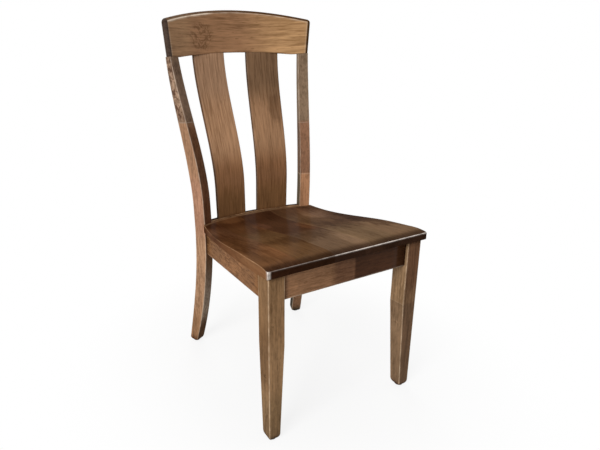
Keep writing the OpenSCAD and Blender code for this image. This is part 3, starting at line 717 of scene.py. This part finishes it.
# %% Crest rail
CREST_FLARE = 0.08
CREST_LEAN = math.radians(2)


def crest_marks(s, over, end, f, b, top, set_back, height):
    """Pale arris under the round, bare wood and a painted highlight that is strongest at the left,
    where the key light falls, and faintly where the end starts. Darker on the ends, which are end
    grain, and, more to the right, on the round, which begins at height top."""
    from_face = np.minimum(np.abs(set_back - f), np.abs(set_back - b))
    # Painted highlight, strongest at the left, where the key light falls on the arris.
    handled = (1 - 0.8 * step(s, -0.11, 0.05)) * (1 - ease(over / 0.0015))
    wear = fade(np.abs(height - top) + from_face, 0.0015) * handled
    end_line = fade(np.abs(np.abs(s) - end) + from_face, 0.0012) * (height < top + 0.001)
    on_round = mix(0.62, 0.9, step(s, -0.1, 0.2)) * (height > top + 0.0004)
    return np.maximum(wear, 0.08 * end_line), np.maximum(on_round, 1 * (over > 0.0004))


def make_crest():
    """The section at every station s, then bent to the bow: the angle is the arcsine of the
    width over the radius of the back."""
    end = post_top_x - CREST_ROUND
    tip = end + CREST_ROUND * np.sin(quarter(9))
    s = np.concatenate([-tip[::-1], np.linspace(-end, end, 120)[1:-1], tip])[:, None]
    over = np.clip(np.abs(s) - end, 0, CREST_ROUND)
    pull = sag(CREST_ROUND, over)
    widest = post_top_x + CREST_FLARE * (crest_top(post_top_x) - CREST_H)
    zt = crest_top(s * widest / post_top_x) - pull
    r = CREST_ROUND - pull * 0.9
    f, b = pull, CREST_T - pull
    set_back, height = crest_section(f, b, crest_under(s), zt, r)
    wear, soak = crest_marks(s, over, end, f, b, zt - r, set_back, height)
    wide = s * (1 + CREST_FLARE * (height - CREST_H) / post_top_x)
    ang = np.arcsin(np.clip(wide / BACK_R, -1, 1))
    rad, up = BACK_R + set_back, height - CREST_H
    y = crest_y - BACK_R + rad * np.cos(ang) + up * math.sin(CREST_LEAN)
    rings = rings_at(rad * np.sin(ang), y, CREST_H + up * math.cos(CREST_LEAN))
    flat = rings_at(wide, set_back, height)
    return build_piece("crest_rail", place(rings), wear, soak, flat)


crest = make_crest()

# %% [markdown]
# ## Stained wood
#
# The chair is a close-grained hardwood under a brown wiping stain. It shows little figure:
# soft clouds, faint streaks along the grain, a few dark flecks. A picture of wood would be
# quicker, but it breaks off at every edge. So the finish reads Object coordinates, or `unbent`
# on a bent board, turned until the grain runs along the pattern's z axis, and squeezes them
# along it, so that every noise stretches into streaks. Growth rings round a pith beside the
# board add the faint arches of a flat-sawn face.

# %% Node helper
def linear(r, g, b):
    """An sRGB colour of 0 to 255 as the linear values that Blender wants."""
    c = np.array([r, g, b]) / 255
    out = np.where(c <= 0.04045, c / 12.92, ((c + 0.055) / 1.055) ** 2.4)
    return (*[float(v) for v in out], 1)


class Nodes:
    """Adds nodes to a material or a world, here called the owner, and links them."""

    def __init__(self, owner):
        owner.use_nodes = True
        self.owner, self.tree = owner, owner.node_tree
        self.tree.nodes.clear()

    def add(self, kind, inputs=(), out=0, **props):
        """Adds a node and gives one of its outputs. inputs maps socket names or numbers to
        values or to outputs of other nodes."""
        node = self.tree.nodes.new("ShaderNode" + kind)
        for key, value in props.items():
            setattr(node, key, value)
        for key, value in dict(inputs).items():
            if isinstance(value, bpy.types.NodeSocket):
                self.tree.links.new(value, node.inputs[key])
            else:
                node.inputs[key].default_value = value
        return node.outputs[out] if node.outputs else node

    def end(self, surface, kind="OutputMaterial"):
        """Links the surface to the output and gives the owner back."""
        self.add(kind, {"Surface": surface})
        return self.owner

    def object_place(self):
        return self.add("TexCoord", out="Object")

    def mark(self, name, out="Fac"):
        """One of the mesh's attributes."""
        return self.add("Attribute", out=out, attribute_name=name)

    def math(self, operation, a, b=0, clamp=False):
        return self.add("Math", {0: a, 1: b}, operation=operation, use_clamp=clamp)

    plus = partialmethod(math, "ADD")
    minus = partialmethod(math, "SUBTRACT")
    times = partialmethod(math, "MULTIPLY")
    share = partialmethod(math, "DIVIDE")
    power = partialmethod(math, "POWER")
    larger = partialmethod(math, "MAXIMUM")
    size = partialmethod(math, "ABSOLUTE")

    def centred(self, *terms):
        """Adds (socket, weight) pairs, each socket first centred on zero by taking 0.5 away."""
        total = None
        for socket, weight in terms:
            part = self.times(self.minus(socket, 0.5), weight)
            total = part if total is None else self.plus(total, part)
        return total

    def vector(self, operation, a, b=(0, 0, 0), out="Vector"):
        return self.add("VectorMath", {0: a, 1: b}, out, operation=operation)

    def mapping(self, vector, move=(0, 0, 0), turn=(0, 0, 0), squeeze=1):
        """Moves and turns coordinates and squeezes them along the pattern's z axis."""
        return self.add("Mapping", {"Vector": vector, "Location": move, "Rotation": turn,
                                    "Scale": (1, 1, squeeze)})

    def blend(self, factor, a, b):
        return self.add("Mix", {0: factor, 6: a, 7: b}, 2, data_type="RGBA")

    def tint(self, factor, colour, share):
        """Multiplies a colour by (r, g, b) as far as the factor says."""
        return self.add("Mix", {0: factor, 6: colour, 7: (*share, 1)}, 2,
                        data_type="RGBA", blend_type="MULTIPLY")

    def ramp(self, factor, low, high, soft=False):
        """Stretches low..high to 0..1, with soft ends where asked."""
        return self.add("MapRange", {0: factor, 1: low, 2: high},
                        interpolation_type="SMOOTHSTEP" if soft else "LINEAR")

    def noise(self, vector, *settings):
        """One noise, about 0.5 in the middle."""
        names = ("Vector", "Scale", "Detail", "Roughness", "Distortion")
        return self.add("TexNoise", zip(names, (vector, *settings)), "Fac")

    def seen(self):
        """1 for the rays of the camera, of reflections and of glass, and 0 for those of light."""
        path = self.add("LightPath").node.outputs
        eye = self.larger(path["Is Camera Ray"], path["Is Glossy Ray"])
        return self.larger(eye, path["Is Transmission Ray"])


# %% Layers of the figure
GRAIN_TURN = {"x": (0, math.pi / 2, 0), "y": (math.pi / 2, 0, 0), "z": (0, 0, 0)}
# Each noise: its squeeze along the grain, scale, detail, roughness and distortion.
LAYERS = {
    "fibre": (0.05, 340, 2, 0.7, 0), "streak": (0.06, 105, 3, 0.6, 0.3),
    "mottle": (0.35, 46, 3, 0.6, 0.8), "cloud": (0.3, 10, 2, 0.5, 0.5),
    "curl": (0.45, 190, 2, 0.6, 0.6), "fleck": (0.22, 210, 1, 0.4, 0),
    "knot": (1, 42, 3, 0.6, 3.2), "fan": (1, 42, 2, 0.6, 1.2),
    "burl": (0.8, 95, 2, 0.6, 0.6), "rub": (1, 34, 3, 0.6, 0),
}


def late_wood(n, along, seed, pith, gap):
    """The dark side of growth rings, one gap apart, round a pith beside the board: a saw-tooth
    wave to the third power."""
    at = n.mapping(along, (pith * math.cos(seed), pith * math.sin(seed), 0), squeeze=0.05)
    return n.power(n.add("TexWave", {
        "Vector": at, "Scale": 0.314 / gap, "Distortion": 3, "Detail Scale": 0.7,
    }, "Fac", wave_type="RINGS", rings_direction="Z", wave_profile="SAW"), 3)


def knot_lines(n, coords, swirl, x, y, z, radius):
    """Dark and pale lines of a swirling noise, within a radius of a point."""
    away = n.vector("DISTANCE", coords, (x, y, z), "Value")
    dark, pale = n.ramp(swirl, 0.51, 0.6, soft=True), n.ramp(swirl, 0.46, 0.36, soft=True)
    return n.times(n.ramp(away, radius, 0.25 * radius, soft=True), n.times(n.minus(dark, pale), 0.6))


def crotch_fan(n, at, swirl, x, z, half_w, half_h, gap):
    """Barbs that lean away from a middle line, as where a branch left the trunk: the sine of
    rise minus arm over gap, bent by a noise, inside an ellipse. The arm climbs as the 0.85th
    power of the distance from the middle line."""
    aside, rise = n.size(n.minus(at[0], x)), n.minus(at[2], z)
    arm = n.times(n.power(n.share(aside, half_w), 0.85), 0.8 * half_w)
    phase = n.plus(n.share(n.minus(rise, arm), gap), n.centred((swirl, 3.6)))
    wave = n.math("SINE", n.times(phase, 2 * math.pi))
    barbs = n.minus(n.times(n.ramp(wave, 0.2, 0.95), 0.52), n.times(n.ramp(wave, -0.3, -0.95), 0.3))
    reach = n.plus(n.power(n.share(aside, half_w), 2),
                   n.power(n.size(n.share(rise, half_h)), 2))
    return n.times(n.ramp(reach, 1.1, 0.25, soft=True), n.plus(barbs, 0.22))


# %% [markdown]
# ## How the stain took, with painted light and shade
#
# No two pieces took the stain alike. Washes change its colour along a piece, and oval patches
# do so on the seat; some of them are painted light and shade. End grain drinks the stain, routed
# rounds and a few faces are darker, some with painted shade, arrises are pale, partly bare wood
# and partly painted highlight, and pale lines show where a post was glued up. Painting by hand
# wouldn't follow a change of shape, so all this is worked out from places and attributes.

# %% Washes, patches, and pale edges with painted highlight
# Tint of the darker places: stain that sank in, and painted shade.
SOAKED = (0.18, 0.13, 0.1)
ANY = math.inf
BURL_DARK, BURL_PALE = (0.44, 0.35, 0.33), (1.62, 1.7, 1.78)
GREYED = (0.92, 1.22, 1.62)


def flecked(n, layer, colour):
    """Dark and pale flecks where the piece has burl."""
    where, burl = n.mark("burl"), layer("burl")
    colour = n.tint(n.times(where, n.ramp(burl, 0.5, 0.58)), colour, BURL_DARK)
    return n.tint(n.times(where, n.ramp(burl, 0.46, 0.38)), colour, BURL_PALE)


def patched(n, coords, mottle, colour, centre, half, share):
    """A ragged oval: the distance from its centre, counted in half sizes, plus some mottle."""
    off = n.vector("MULTIPLY", n.vector("SUBTRACT", coords, centre), tuple(1 / v for v in half))
    ragged = n.plus(n.vector("LENGTH", off, out="Value"), n.centred((mottle, 1.2)))
    return n.tint(n.ramp(ragged, 1, 0.45, soft=True), colour, share)


def rubbed(n, layer, at, colour, rub, rubbing, worn, joints):
    """Bare wood and painted highlight where the arris attribute and a noise agree, and along the glue
    lines.
    """
    patchy = n.ramp(layer("rub"), 0.36, 0.62)
    share = n.plus(n.times(patchy, 0.6 * rubbing), 0.3 * rubbing)
    amount = n.times(n.mark("wear"), share, clamp=True)
    if worn:
        worn_from, worn_colour = worn
        rub = n.blend(n.ramp(at[1], worn_from, worn_from + 0.004), rub, worn_colour)
    for height in joints:
        away = n.size(n.minus(at[2], height))
        amount = n.larger(amount, n.times(n.ramp(away, 0.0016, 0.0004), 0.2))
    return n.blend(amount, colour, rub)


# %% Wood finish
def stained_wood(name, grain, seed, deep, mid, pale, rub, turn=0, ring_gap=0.013, pith=0.1,
                 cloud=1, fine=1, curly=1, gloss=0.42, coat=0.12, bent=False, burled=False,
                 knots=(), feather=None, washes=(), patches=(), soaked_tint=SOAKED,
                 soaked_washes=(), rubbing=1, worn=None, joints=()):
    """Wood with its grain along one axis. seed moves the pattern, turn is the piece's turn in
    plan. Growth rings are ring_gap wide, round a centre pith away. cloud, fine and curly weigh
    the broad clouds, the fine streaks and the curls. A bent piece takes its grain from `unbent`,
    a burled one has flecks and grey. knots are (x, y, z, radius), feather is (x, z, half width,
    half height, gap). washes are (from, to, (r, g, b)): past that place along the grain the
    colour is multiplied, for stain and on some pieces for painted light and shade, and
    soaked_washes do so where the soak attribute is. soaked_tint colours that attribute, which
    holds both stain that sank in and painted shade. patches are (centre, half sizes, (r, g, b));
    a half size of ANY reaches through. rubbing weighs the pale arrises, bare wood and painted
    highlight, and worn, (y, colour), is their colour behind y. joints are heights of glue lines."""
    n = Nodes(bpy.data.materials.new(name))
    shift = tuple(np.random.default_rng(seed).uniform(-0.5, 0.5, 3))
    coords = n.object_place()
    at = n.add("SeparateXYZ", {0: coords}).node.outputs
    turned = n.mapping(n.mark("unbent", "Vector") if bent else coords, turn=(0, 0, turn))
    along = n.mapping(turned, turn=GRAIN_TURN[grain])
    zero = FRONT_Y if grain == "y" else 0

    def layer(kind):
        """One noise of the figure."""
        squeeze, *settings = LAYERS[kind]
        return n.noise(n.mapping(along, shift, squeeze=squeeze), *settings)

    def past(start, end):
        """0 before start, 1 past end, along the grain."""
        return n.ramp(at["xyz".index(grain)], zero + start, zero + end, soft=True)

    fibre, streak, mottle = layer("fibre"), layer("streak"), layer("mottle")
    fleck = n.ramp(layer("fleck"), 0.7, 0.76)
    tone = n.centred((layer("cloud"), 2.2 * cloud), (mottle, 0.9 * cloud), (streak, 1.1 * fine),
                     (fibre, 2 * fine), (layer("curl"), curly),
                     (late_wood(n, along, seed, pith, ring_gap), -0.16))
    tone = n.plus(tone, 0.5)
    for knot in knots:
        tone = n.minus(tone, knot_lines(n, coords, layer("knot"), *knot))
    if feather:
        tone = n.minus(tone, crotch_fan(n, at, layer("fan"), *feather))

    ramp = n.add("ValToRGB", {0: n.plus(tone, 0, clamp=True)})
    stops = ramp.node.color_ramp.elements
    stops[0].color, stops[1].color = deep, pale
    stops.new(0.5).color = mid
    colour = n.blend(n.times(fleck, 0.55 * fine), ramp, deep)
    if burled:
        colour = flecked(n, layer, colour)
    for start, end, share in washes:
        colour = n.tint(past(start, end), colour, share)
    for patch in patches:
        colour = patched(n, coords, mottle, colour, *patch)
    soaked = n.mark("soak")
    colour = n.tint(soaked, colour, soaked_tint)
    for start, end, share in soaked_washes:
        colour = n.tint(n.times(soaked, past(start, end)), colour, share)
    if burled:
        colour = n.tint(n.mark("grey"), colour, GREYED)
    colour = rubbed(n, layer, at, colour, rub, rubbing, worn, joints)

    relief = n.minus(fibre, n.times(fleck, 0.8))
    polish = n.times(n.minus(1, n.times(soaked, 0.8), clamp=True), coat) if coat else 0
    return n.end(n.add("BsdfPrincipled", {
        "Base Color": colour, "Roughness": n.plus(n.times(streak, 0.16), gloss - 0.08),
        "Normal": n.add("Bump", {"Height": relief, "Strength": 0.12, "Distance": 0.0004}),
        "Coat Weight": polish, "Coat Roughness": 0.22, "Specular IOR Level": 0,
    }))


def finish_with(obj, material):
    """Gives a piece one material."""
    obj.data.materials.clear()
    obj.data.materials.append(material)
    print(obj.name, "has", material.name)


def stain(obj, *settings, **more):
    """Gives a piece its stained wood."""
    finish_with(obj, stained_wood(*settings, **more))


def tones(r, g, b, spread=0.3, rub=(220, 200, 178)):
    """Four tones round one sRGB colour: deeper, the colour itself, paler, and the pale arris colour,
    bare wood with painted highlight.
    """
    mid, warm = np.array(linear(r, g, b)[:3]), np.array([1, 0.94, 0.86])

    def tone(k):
        return (*[float(v) for v in np.minimum(mid * k, 1)], 1)

    return dict(deep=tone((1 - spread) ** 2 * warm), mid=tone(1),
                pale=tone(1 + 1.5 * spread), rub=linear(*rub))


# %% [markdown]
# ## Finish of the back
#
# The crest rail has a fan of crotch grain left of its middle. It gets paler to the right,
# partly painted light, where its bow turns it towards the key light, and its darker rounds turn
# from blue-black to brown on the way. The slats are paler and get painted shade towards the
# seat, and they are darker at the top. All three are bent, so their grain reads `unbent`.

# %% Crest rail and slats
# The crest's strong pale arris is largely painted highlight, and its paler right is partly painted
# light.
stain(
    crest, "crest stain", "x", 3, bent=True, **tones(137, 101, 72, 0.2), ring_gap=0.016, pith=0.16,
    cloud=0.7, fine=1.15, curly=0.15, rubbing=3, feather=(-0.117, 0.968, 0.046, 0.046, 0.021),
    washes=((-0.13, -0.18, (1.12, 1.2, 1.2)), (0.00, 0.18, (1.62, 1.78, 1.66))),
    soaked_tint=(0.19, 0.23, 0.35), soaked_washes=((-0.05, 0.1, (0.88, 0.6, 0.3)),),
)
# The slats' washes paint shade towards the seat and darken their tops.
SLAT_STAIN = {
    -1: dict(
        tones(165, 126, 94, 0.18), knots=((-0.07, 0.205, 0.545, 0.018),),
        washes=((0.74, 0.84, (0.79, 0.82, 0.88)), (0.66, 0.57, (0.62, 0.53, 0.44)),
                (0.55, 0.48, (0.84, 0.87, 0.8)))),
    1: dict(
        tones(144, 109, 80, 0.18), knots=((0.122, 0.245, 0.612, 0.014), (0.086, 0.205, 0.555, 0.018)),
        washes=((0.74, 0.84, (0.52, 0.53, 0.53)), (0.66, 0.57, (0.7, 0.6, 0.51)),
                (0.55, 0.48, (0.84, 0.87, 0.8))),
        patches=(((0.122, 0, 0.755), (0.042, ANY, 0.055), (0.72, 0.7, 0.68)),)),
}
for s, slat in slats.items():
    stain(slat, "slat stain %d" % s, "z", 14 + 3 * s, bent=True, ring_gap=0.018, pith=0.07,
          cloud=0.5, fine=1.15, curly=0.15, rubbing=0.15, **SLAT_STAIN[s])

# %% [markdown]
# ## Finish of the posts and legs
#
# The posts are glued up from shorter lengths, and each took the stain in its own way: a wash
# with a steep edge at a pale line shows such a joint. The legs have small knots and scars.

# %% Posts and legs
# The darker-face tints colour the posts' painted shade and their darker feet.
POST_STAIN = {
    -1: dict(
        tones(150, 111, 88, 0.22), soaked_tint=(0.24, 0.11, 0.01), joints=(POST_JOINT_H,),
        washes=((0.44, 0.36, (1.02, 1.12, 1.03)), (0.18, 0.08, (0.82, 0.76, 0.68)),
                (0.54, 0.6, (0.83, 0.87, 0.8)),
                (POST_JOINT_H - 0.004, POST_JOINT_H + 0.002, (0.67, 0.76, 0.86)))),
    1: dict(
        tones(160, 116, 84, 0.22), soaked_tint=(0.2, 0.36, 0.44), joints=(0.702, 0.541),
        washes=((0.34, 0.22, (0.5, 0.52, 0.52)), (0.54, 0.546, (0.56, 0.56, 0.61)),
                (0.7, 0.712, (0.89, 1.18, 1.32)))),
}
for s, post in posts.items():
    stain(post, "post stain %d" % s, "z", 24 + 3 * s, turn=s * POST_TURN, cloud=0.6, curly=1.4,
          burled=s < 0, rubbing=0.6, **POST_STAIN[s])
LEG_STAIN = {
    -1: dict(tones(124, 94, 64, 0.22, (222, 194, 162)),
             washes=((0.3, 0.24, (1.13, 1.16, 1.2)), (0.16, 0.1, (0.78, 0.8, 0.78)))),
    # The right leg's darker-face tint colours its painted shade.
    1: dict(tones(136, 108, 79, 0.22, (222, 194, 162)), soaked_tint=(0.2, 0.03, 0),
            washes=((0.262, 0.256, (0.8, 0.8, 0.84)), (0.2, 0.12, (0.8, 0.79, 0.78)))),
}
LEG_MARKS = {
    -1: ((-0.214, 0, 0.317, 0.007), (-0.199, 0, 0.228, 0.008), (-0.225, 0.018, 0.175, 0.014),
         (-0.225, 0.012, 0.149, 0.012), (-0.225, 0.014, 0.072, 0.012)),
    1: ((0.184, 0.02, 0.2, 0.012),),
}
for s, leg in legs.items():
    stain(leg, "leg stain %d" % s, "z", 34 + 3 * s, cloud=0.7, rubbing=0.7,
          knots=[(x, FRONT_Y + y, z, r) for x, y, z, r in LEG_MARKS[s]], **LEG_STAIN[s])

# %% [markdown]
# ## Finish of the rails
#
# The front rail is glued up from three lengths, each darker than the one to its left, so two
# washes with steep edges follow each other; the darkening to the right is also painted shade,
# where its face gets less light. The rear rail is a guess and stays plain.

# %% Rails
# The front rail's washes darken it to the right, partly with painted shade.
stain(
    front_rail, "front rail stain", "x", 41, **tones(133, 97, 69, 0.2), cloud=0.6,
    washes=((-0.055, -0.028, (0.58, 0.53, 0.53)), (0.016, 0.024, (0.4, 0.33, 0.27))),
)
stain(rear_rail, "rear rail stain", "x", 42, **tones(112, 78, 49, 0.2))
for s, rail in side_rails.items():
    stain(
        rail, "side rail stain %d" % s, "y", 44 + s, **tones(108, 75, 48, 0.24), curly=2, rubbing=0.6,
        washes=((0.12, 0.16, (1.34, 1.32, 1.3)), (0.25, 0.3, (0.85, 0.86, 0.86))),
    )

# %% [markdown]
# ## Finish of the seat
#
# Each of the five boards has its own tone and gets darker at its own distance; the middle
# board's paler front is partly painted sheen. Patches that cross the seams are what the rag
# left, except the pale bluish ones, which are painted sheen and highlights. The front arris is
# almost white and the other ones tan, both partly painted highlight.

# %% Seat boards
BOARD_STAIN = {
    1: ((105, 71, 45), (0.17, 0.3, (0.74, 0.68, 0.7))),
    2: ((94, 66, 41), (0.21, 0.3, (0.76, 0.62, 0.56))),
    # Board 3's paler front is partly painted sheen.
    3: ((102, 78, 57), (0.12, 0.2, (0.52, 0.38, 0.32))),
    4: ((113, 88, 63), (0.13, 0.2, (0.66, 0.56, 0.52))),
    5: ((112, 86, 62), (0.13, 0.2, (0.6, 0.52, 0.5))),
}
FAR_WASH = (0.32, 0.38, (0.72, 0.64, 0.6))
# The tan of the arrises behind the front one is partly painted highlight.
SEAT_WORN = (FRONT_Y - SEAT_OVER + 0.002, linear(196, 154, 114))
# Each patch: x, y, half width, half depth and colour share.
SEAT_PATCHES = (
    (-0.155, 0.085, 0.055, 0.065, (1.28, 1.24, 1.22)),
    (-0.05, 0.13, 0.12, 0.05, (0.66, 0.6, 0.55)),
    (-0.205, 0.21, 0.05, 0.15, (0.78, 0.71, 0.64)),
    (-0.18, 0.385, 0.035, 0.035, (0.66, 0.6, 0.56)),
    # The next three patches are painted highlight and sheen.
    (-0.1, 0.408, 0.06, 0.028, (1.6, 1.8, 1.9)),
    (-0.05, 0.31, 0.03, 0.05, (1.45, 1.45, 1.6)),
    (0.043, 0.05, 0.026, 0.08, (1.5, 1.55, 1.6)),
    (0.045, 0.23, 0.026, 0.07, (1.6, 1.55, 1.45)),
    (0.13, 0.17, 0.06, 0.08, (0.72, 0.68, 0.66)),
    (0.218, 0.2, 0.062, 0.165, (0.5, 0.43, 0.38)),
    # A painted highlight.
    (0.155, 0.33, 0.05, 0.08, (1.75, 1.9, 2.15)),
)
patches = [((x, FRONT_Y + y, 0), (w, d, ANY), share) for x, y, w, d, share in SEAT_PATCHES]
# The near-white colour of the front arris, given below, is partly painted highlight.
for k, board in boards.items():
    base, hollow_wash = BOARD_STAIN[k]
    stain(
        board, "seat stain %d" % k, "y", 50 + 3 * k, **tones(*base, 0.2, (228, 217, 208)),
        ring_gap=0.016, cloud=0.8, fine=0.7, curly=0.5, gloss=0.35, coat=0.05,
        washes=(hollow_wash, FAR_WASH), patches=patches, soaked_tint=(0.175, 0.14, 0.15),
        rubbing=1.4, worn=SEAT_WORN,
    )

# %% [markdown]
# ## Hidden pieces
#
# The corner blocks were never stained. The screws and nails are zinc-plated steel, and the
# glides are brown nylon. Their CAD shapes are right as they are, so they only get a finish.

# %% Blocks, screws and glides
for i, node in enumerate(sorted(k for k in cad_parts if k.startswith("corner_block"))):
    stain(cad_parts[node], "raw block %d" % i, "x", 70 + i, **tones(196, 160, 116, 0.16),
          gloss=0.75, coat=0)


def plain_finish(name, dark, light, scale, rough, metal=0):
    """A metal or a plastic: one fine noise between two tones, which also varies the sheen."""
    n = Nodes(bpy.data.materials.new(name))
    grain = n.noise(n.object_place(), scale, 3)
    return n.end(n.add("BsdfPrincipled", {
        "Base Color": n.blend(grain, linear(*dark), linear(*light)),
        "Roughness": n.plus(n.times(grain, 0.25), rough), "Metallic": metal,
    }))


steel = plain_finish("zinc plated steel", (150, 150, 152), (200, 200, 202), 900, 0.25, metal=1)
nylon = plain_finish("brown nylon", (34, 28, 24), (62, 52, 44), 400, 0.4)
for name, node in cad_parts.items():
    if name in ("block_screws", "seat_screws", "glide_nails"):
        finish_with(node, steel)
    elif name.startswith("glide_"):
        finish_with(node, nylon)

# %% [markdown]
# ## Floor, light and world
#
# The photograph is a product shot on white. Four softboxes light it: a strong one at the left,
# and weak ones above, at the right and behind. Brighter lamps would whiten the ground, but the
# stain too. So floor and world look white only to the camera and to reflections. Close to the
# chair the floor is partly matt paper, which takes a faint shadow.

# %% Floor
FLOOR_HALF = 12
PAPER_FROM, PAPER_TO = 0.25, 0.75
PAPER_WHITE = 0.84
PURE_WHITE = (1, 1, 1, 1)
corners = [(x * FLOOR_HALF, y * FLOOR_HALF, 0) for x, y in ((-1, -1), (1, -1), (1, 1), (-1, 1))]
floor_mesh = bpy.data.meshes.new("studio_floor")
floor_mesh.from_pydata(corners, [], [(0, 1, 2, 3)])
floor = add_object("studio_floor", floor_mesh)


def paper_floor():
    """Lit matt paper, blended with plain white for the camera and for reflections, more with
    the distance from the chair."""
    n = Nodes(bpy.data.materials.new("studio paper"))
    coords = n.object_place()
    tooth = n.blend(n.noise(coords, 3), linear(238, 238, 238), linear(242, 242, 242))
    matt = n.add("BsdfDiffuse", {"Color": tooth})
    white = n.add("Emission", {"Color": PURE_WHITE, "Strength": 1})
    far = n.ramp(n.vector("LENGTH", coords, out="Value"), PAPER_FROM, PAPER_TO, soft=True)
    share = n.times(n.seen(), n.plus(n.times(far, 1 - PAPER_WHITE), PAPER_WHITE))
    return n.end(n.add("MixShader", {0: share, 1: matt, 2: white}))


finish_with(floor, paper_floor())
print("floor", 2 * FLOOR_HALF, "m wide")

# %% World
WORLD_LIGHT = 0.28
air = Nodes(bpy.data.worlds.new("studio"))
soft, bright = (air.add("Background", {"Color": PURE_WHITE, "Strength": strength})
                for strength in (WORLD_LIGHT, 1))
sky = air.add("MixShader", {0: air.seen(), 1: soft, 2: bright})
bpy.context.scene.world = air.end(sky, "OutputWorld")
print("world light", WORLD_LIGHT)

# %% Lamps
AIM = Vector((0, 0, 0.55))


def softbox(name, place_at, size, watts):
    """A square area lamp that looks at the middle of the chair."""
    data = bpy.data.lights.new(name, "AREA")
    data.shape, data.size, data.energy = "SQUARE", size, watts
    lamp = add_object(name, data)
    lamp.location = place_at
    lamp.rotation_euler = (AIM - Vector(place_at)).to_track_quat("-Z", "Y").to_euler()
    print(name, watts, "W")


softbox("key softbox", (-2.9, -1.38, 2), 1.5, 112)
softbox("top softbox", (0.1, -0.3, 3), 2, 10)
softbox("fill softbox", (2.8, -0.7, 1.5), 2, 12)
softbox("back softbox", (1.1, 2.1, 3.2), 1.8, 26)

# %% [markdown]
# ## Camera
#
# The camera's place, direction and focal length were worked out from the outlines in the
# photograph. Its optical centre lies left of the picture's middle, because the picture had
# been cropped, and the lens shift makes up for that.

# %% Camera
IMAGE_W, IMAGE_H = 600, 450
FOCAL_PX = 419.5
CENTRE_PX = (200, 213.8)
CAM_AZIMUTH, CAM_ELEVATION, CAM_ROLL = math.radians(-22.9), math.radians(16.5), math.radians(-3.3)
CAM_FROM_LEGS = (-0.66326, -0.68952, 0.82187)
SENSOR_W = 36

back = Vector((
    math.sin(CAM_AZIMUTH) * math.cos(CAM_ELEVATION),
    -math.cos(CAM_AZIMUTH) * math.cos(CAM_ELEVATION),
    math.sin(CAM_ELEVATION),
))
level = Vector((math.cos(CAM_AZIMUTH), math.sin(CAM_AZIMUTH), 0))
upright = back.cross(level)
right = math.cos(CAM_ROLL) * level + math.sin(CAM_ROLL) * upright
up = -math.sin(CAM_ROLL) * level + math.cos(CAM_ROLL) * upright
lens = bpy.data.cameras.new("camera")
lens.sensor_width = SENSOR_W
lens.lens = FOCAL_PX / IMAGE_W * SENSOR_W
lens.shift_x = (IMAGE_W / 2 - CENTRE_PX[0]) / IMAGE_W
lens.shift_y = -(IMAGE_H / 2 - CENTRE_PX[1]) / IMAGE_W
lens.clip_start, lens.clip_end = 0.05, 60
camera = add_object("camera", lens)
turn = Matrix((right, up, back)).transposed().to_4x4()
eye = Vector(CAM_FROM_LEGS) + Vector((0, FRONT_Y, 0))
camera.matrix_world = Matrix.Translation(eye) @ turn
bpy.context.scene.camera = camera
print("camera at", short(eye))

# %% [markdown]
# ## Finish
#
# Colours go to the screen as they are written.

# %% Finish
bpy.context.scene.view_settings.view_transform = "Standard"
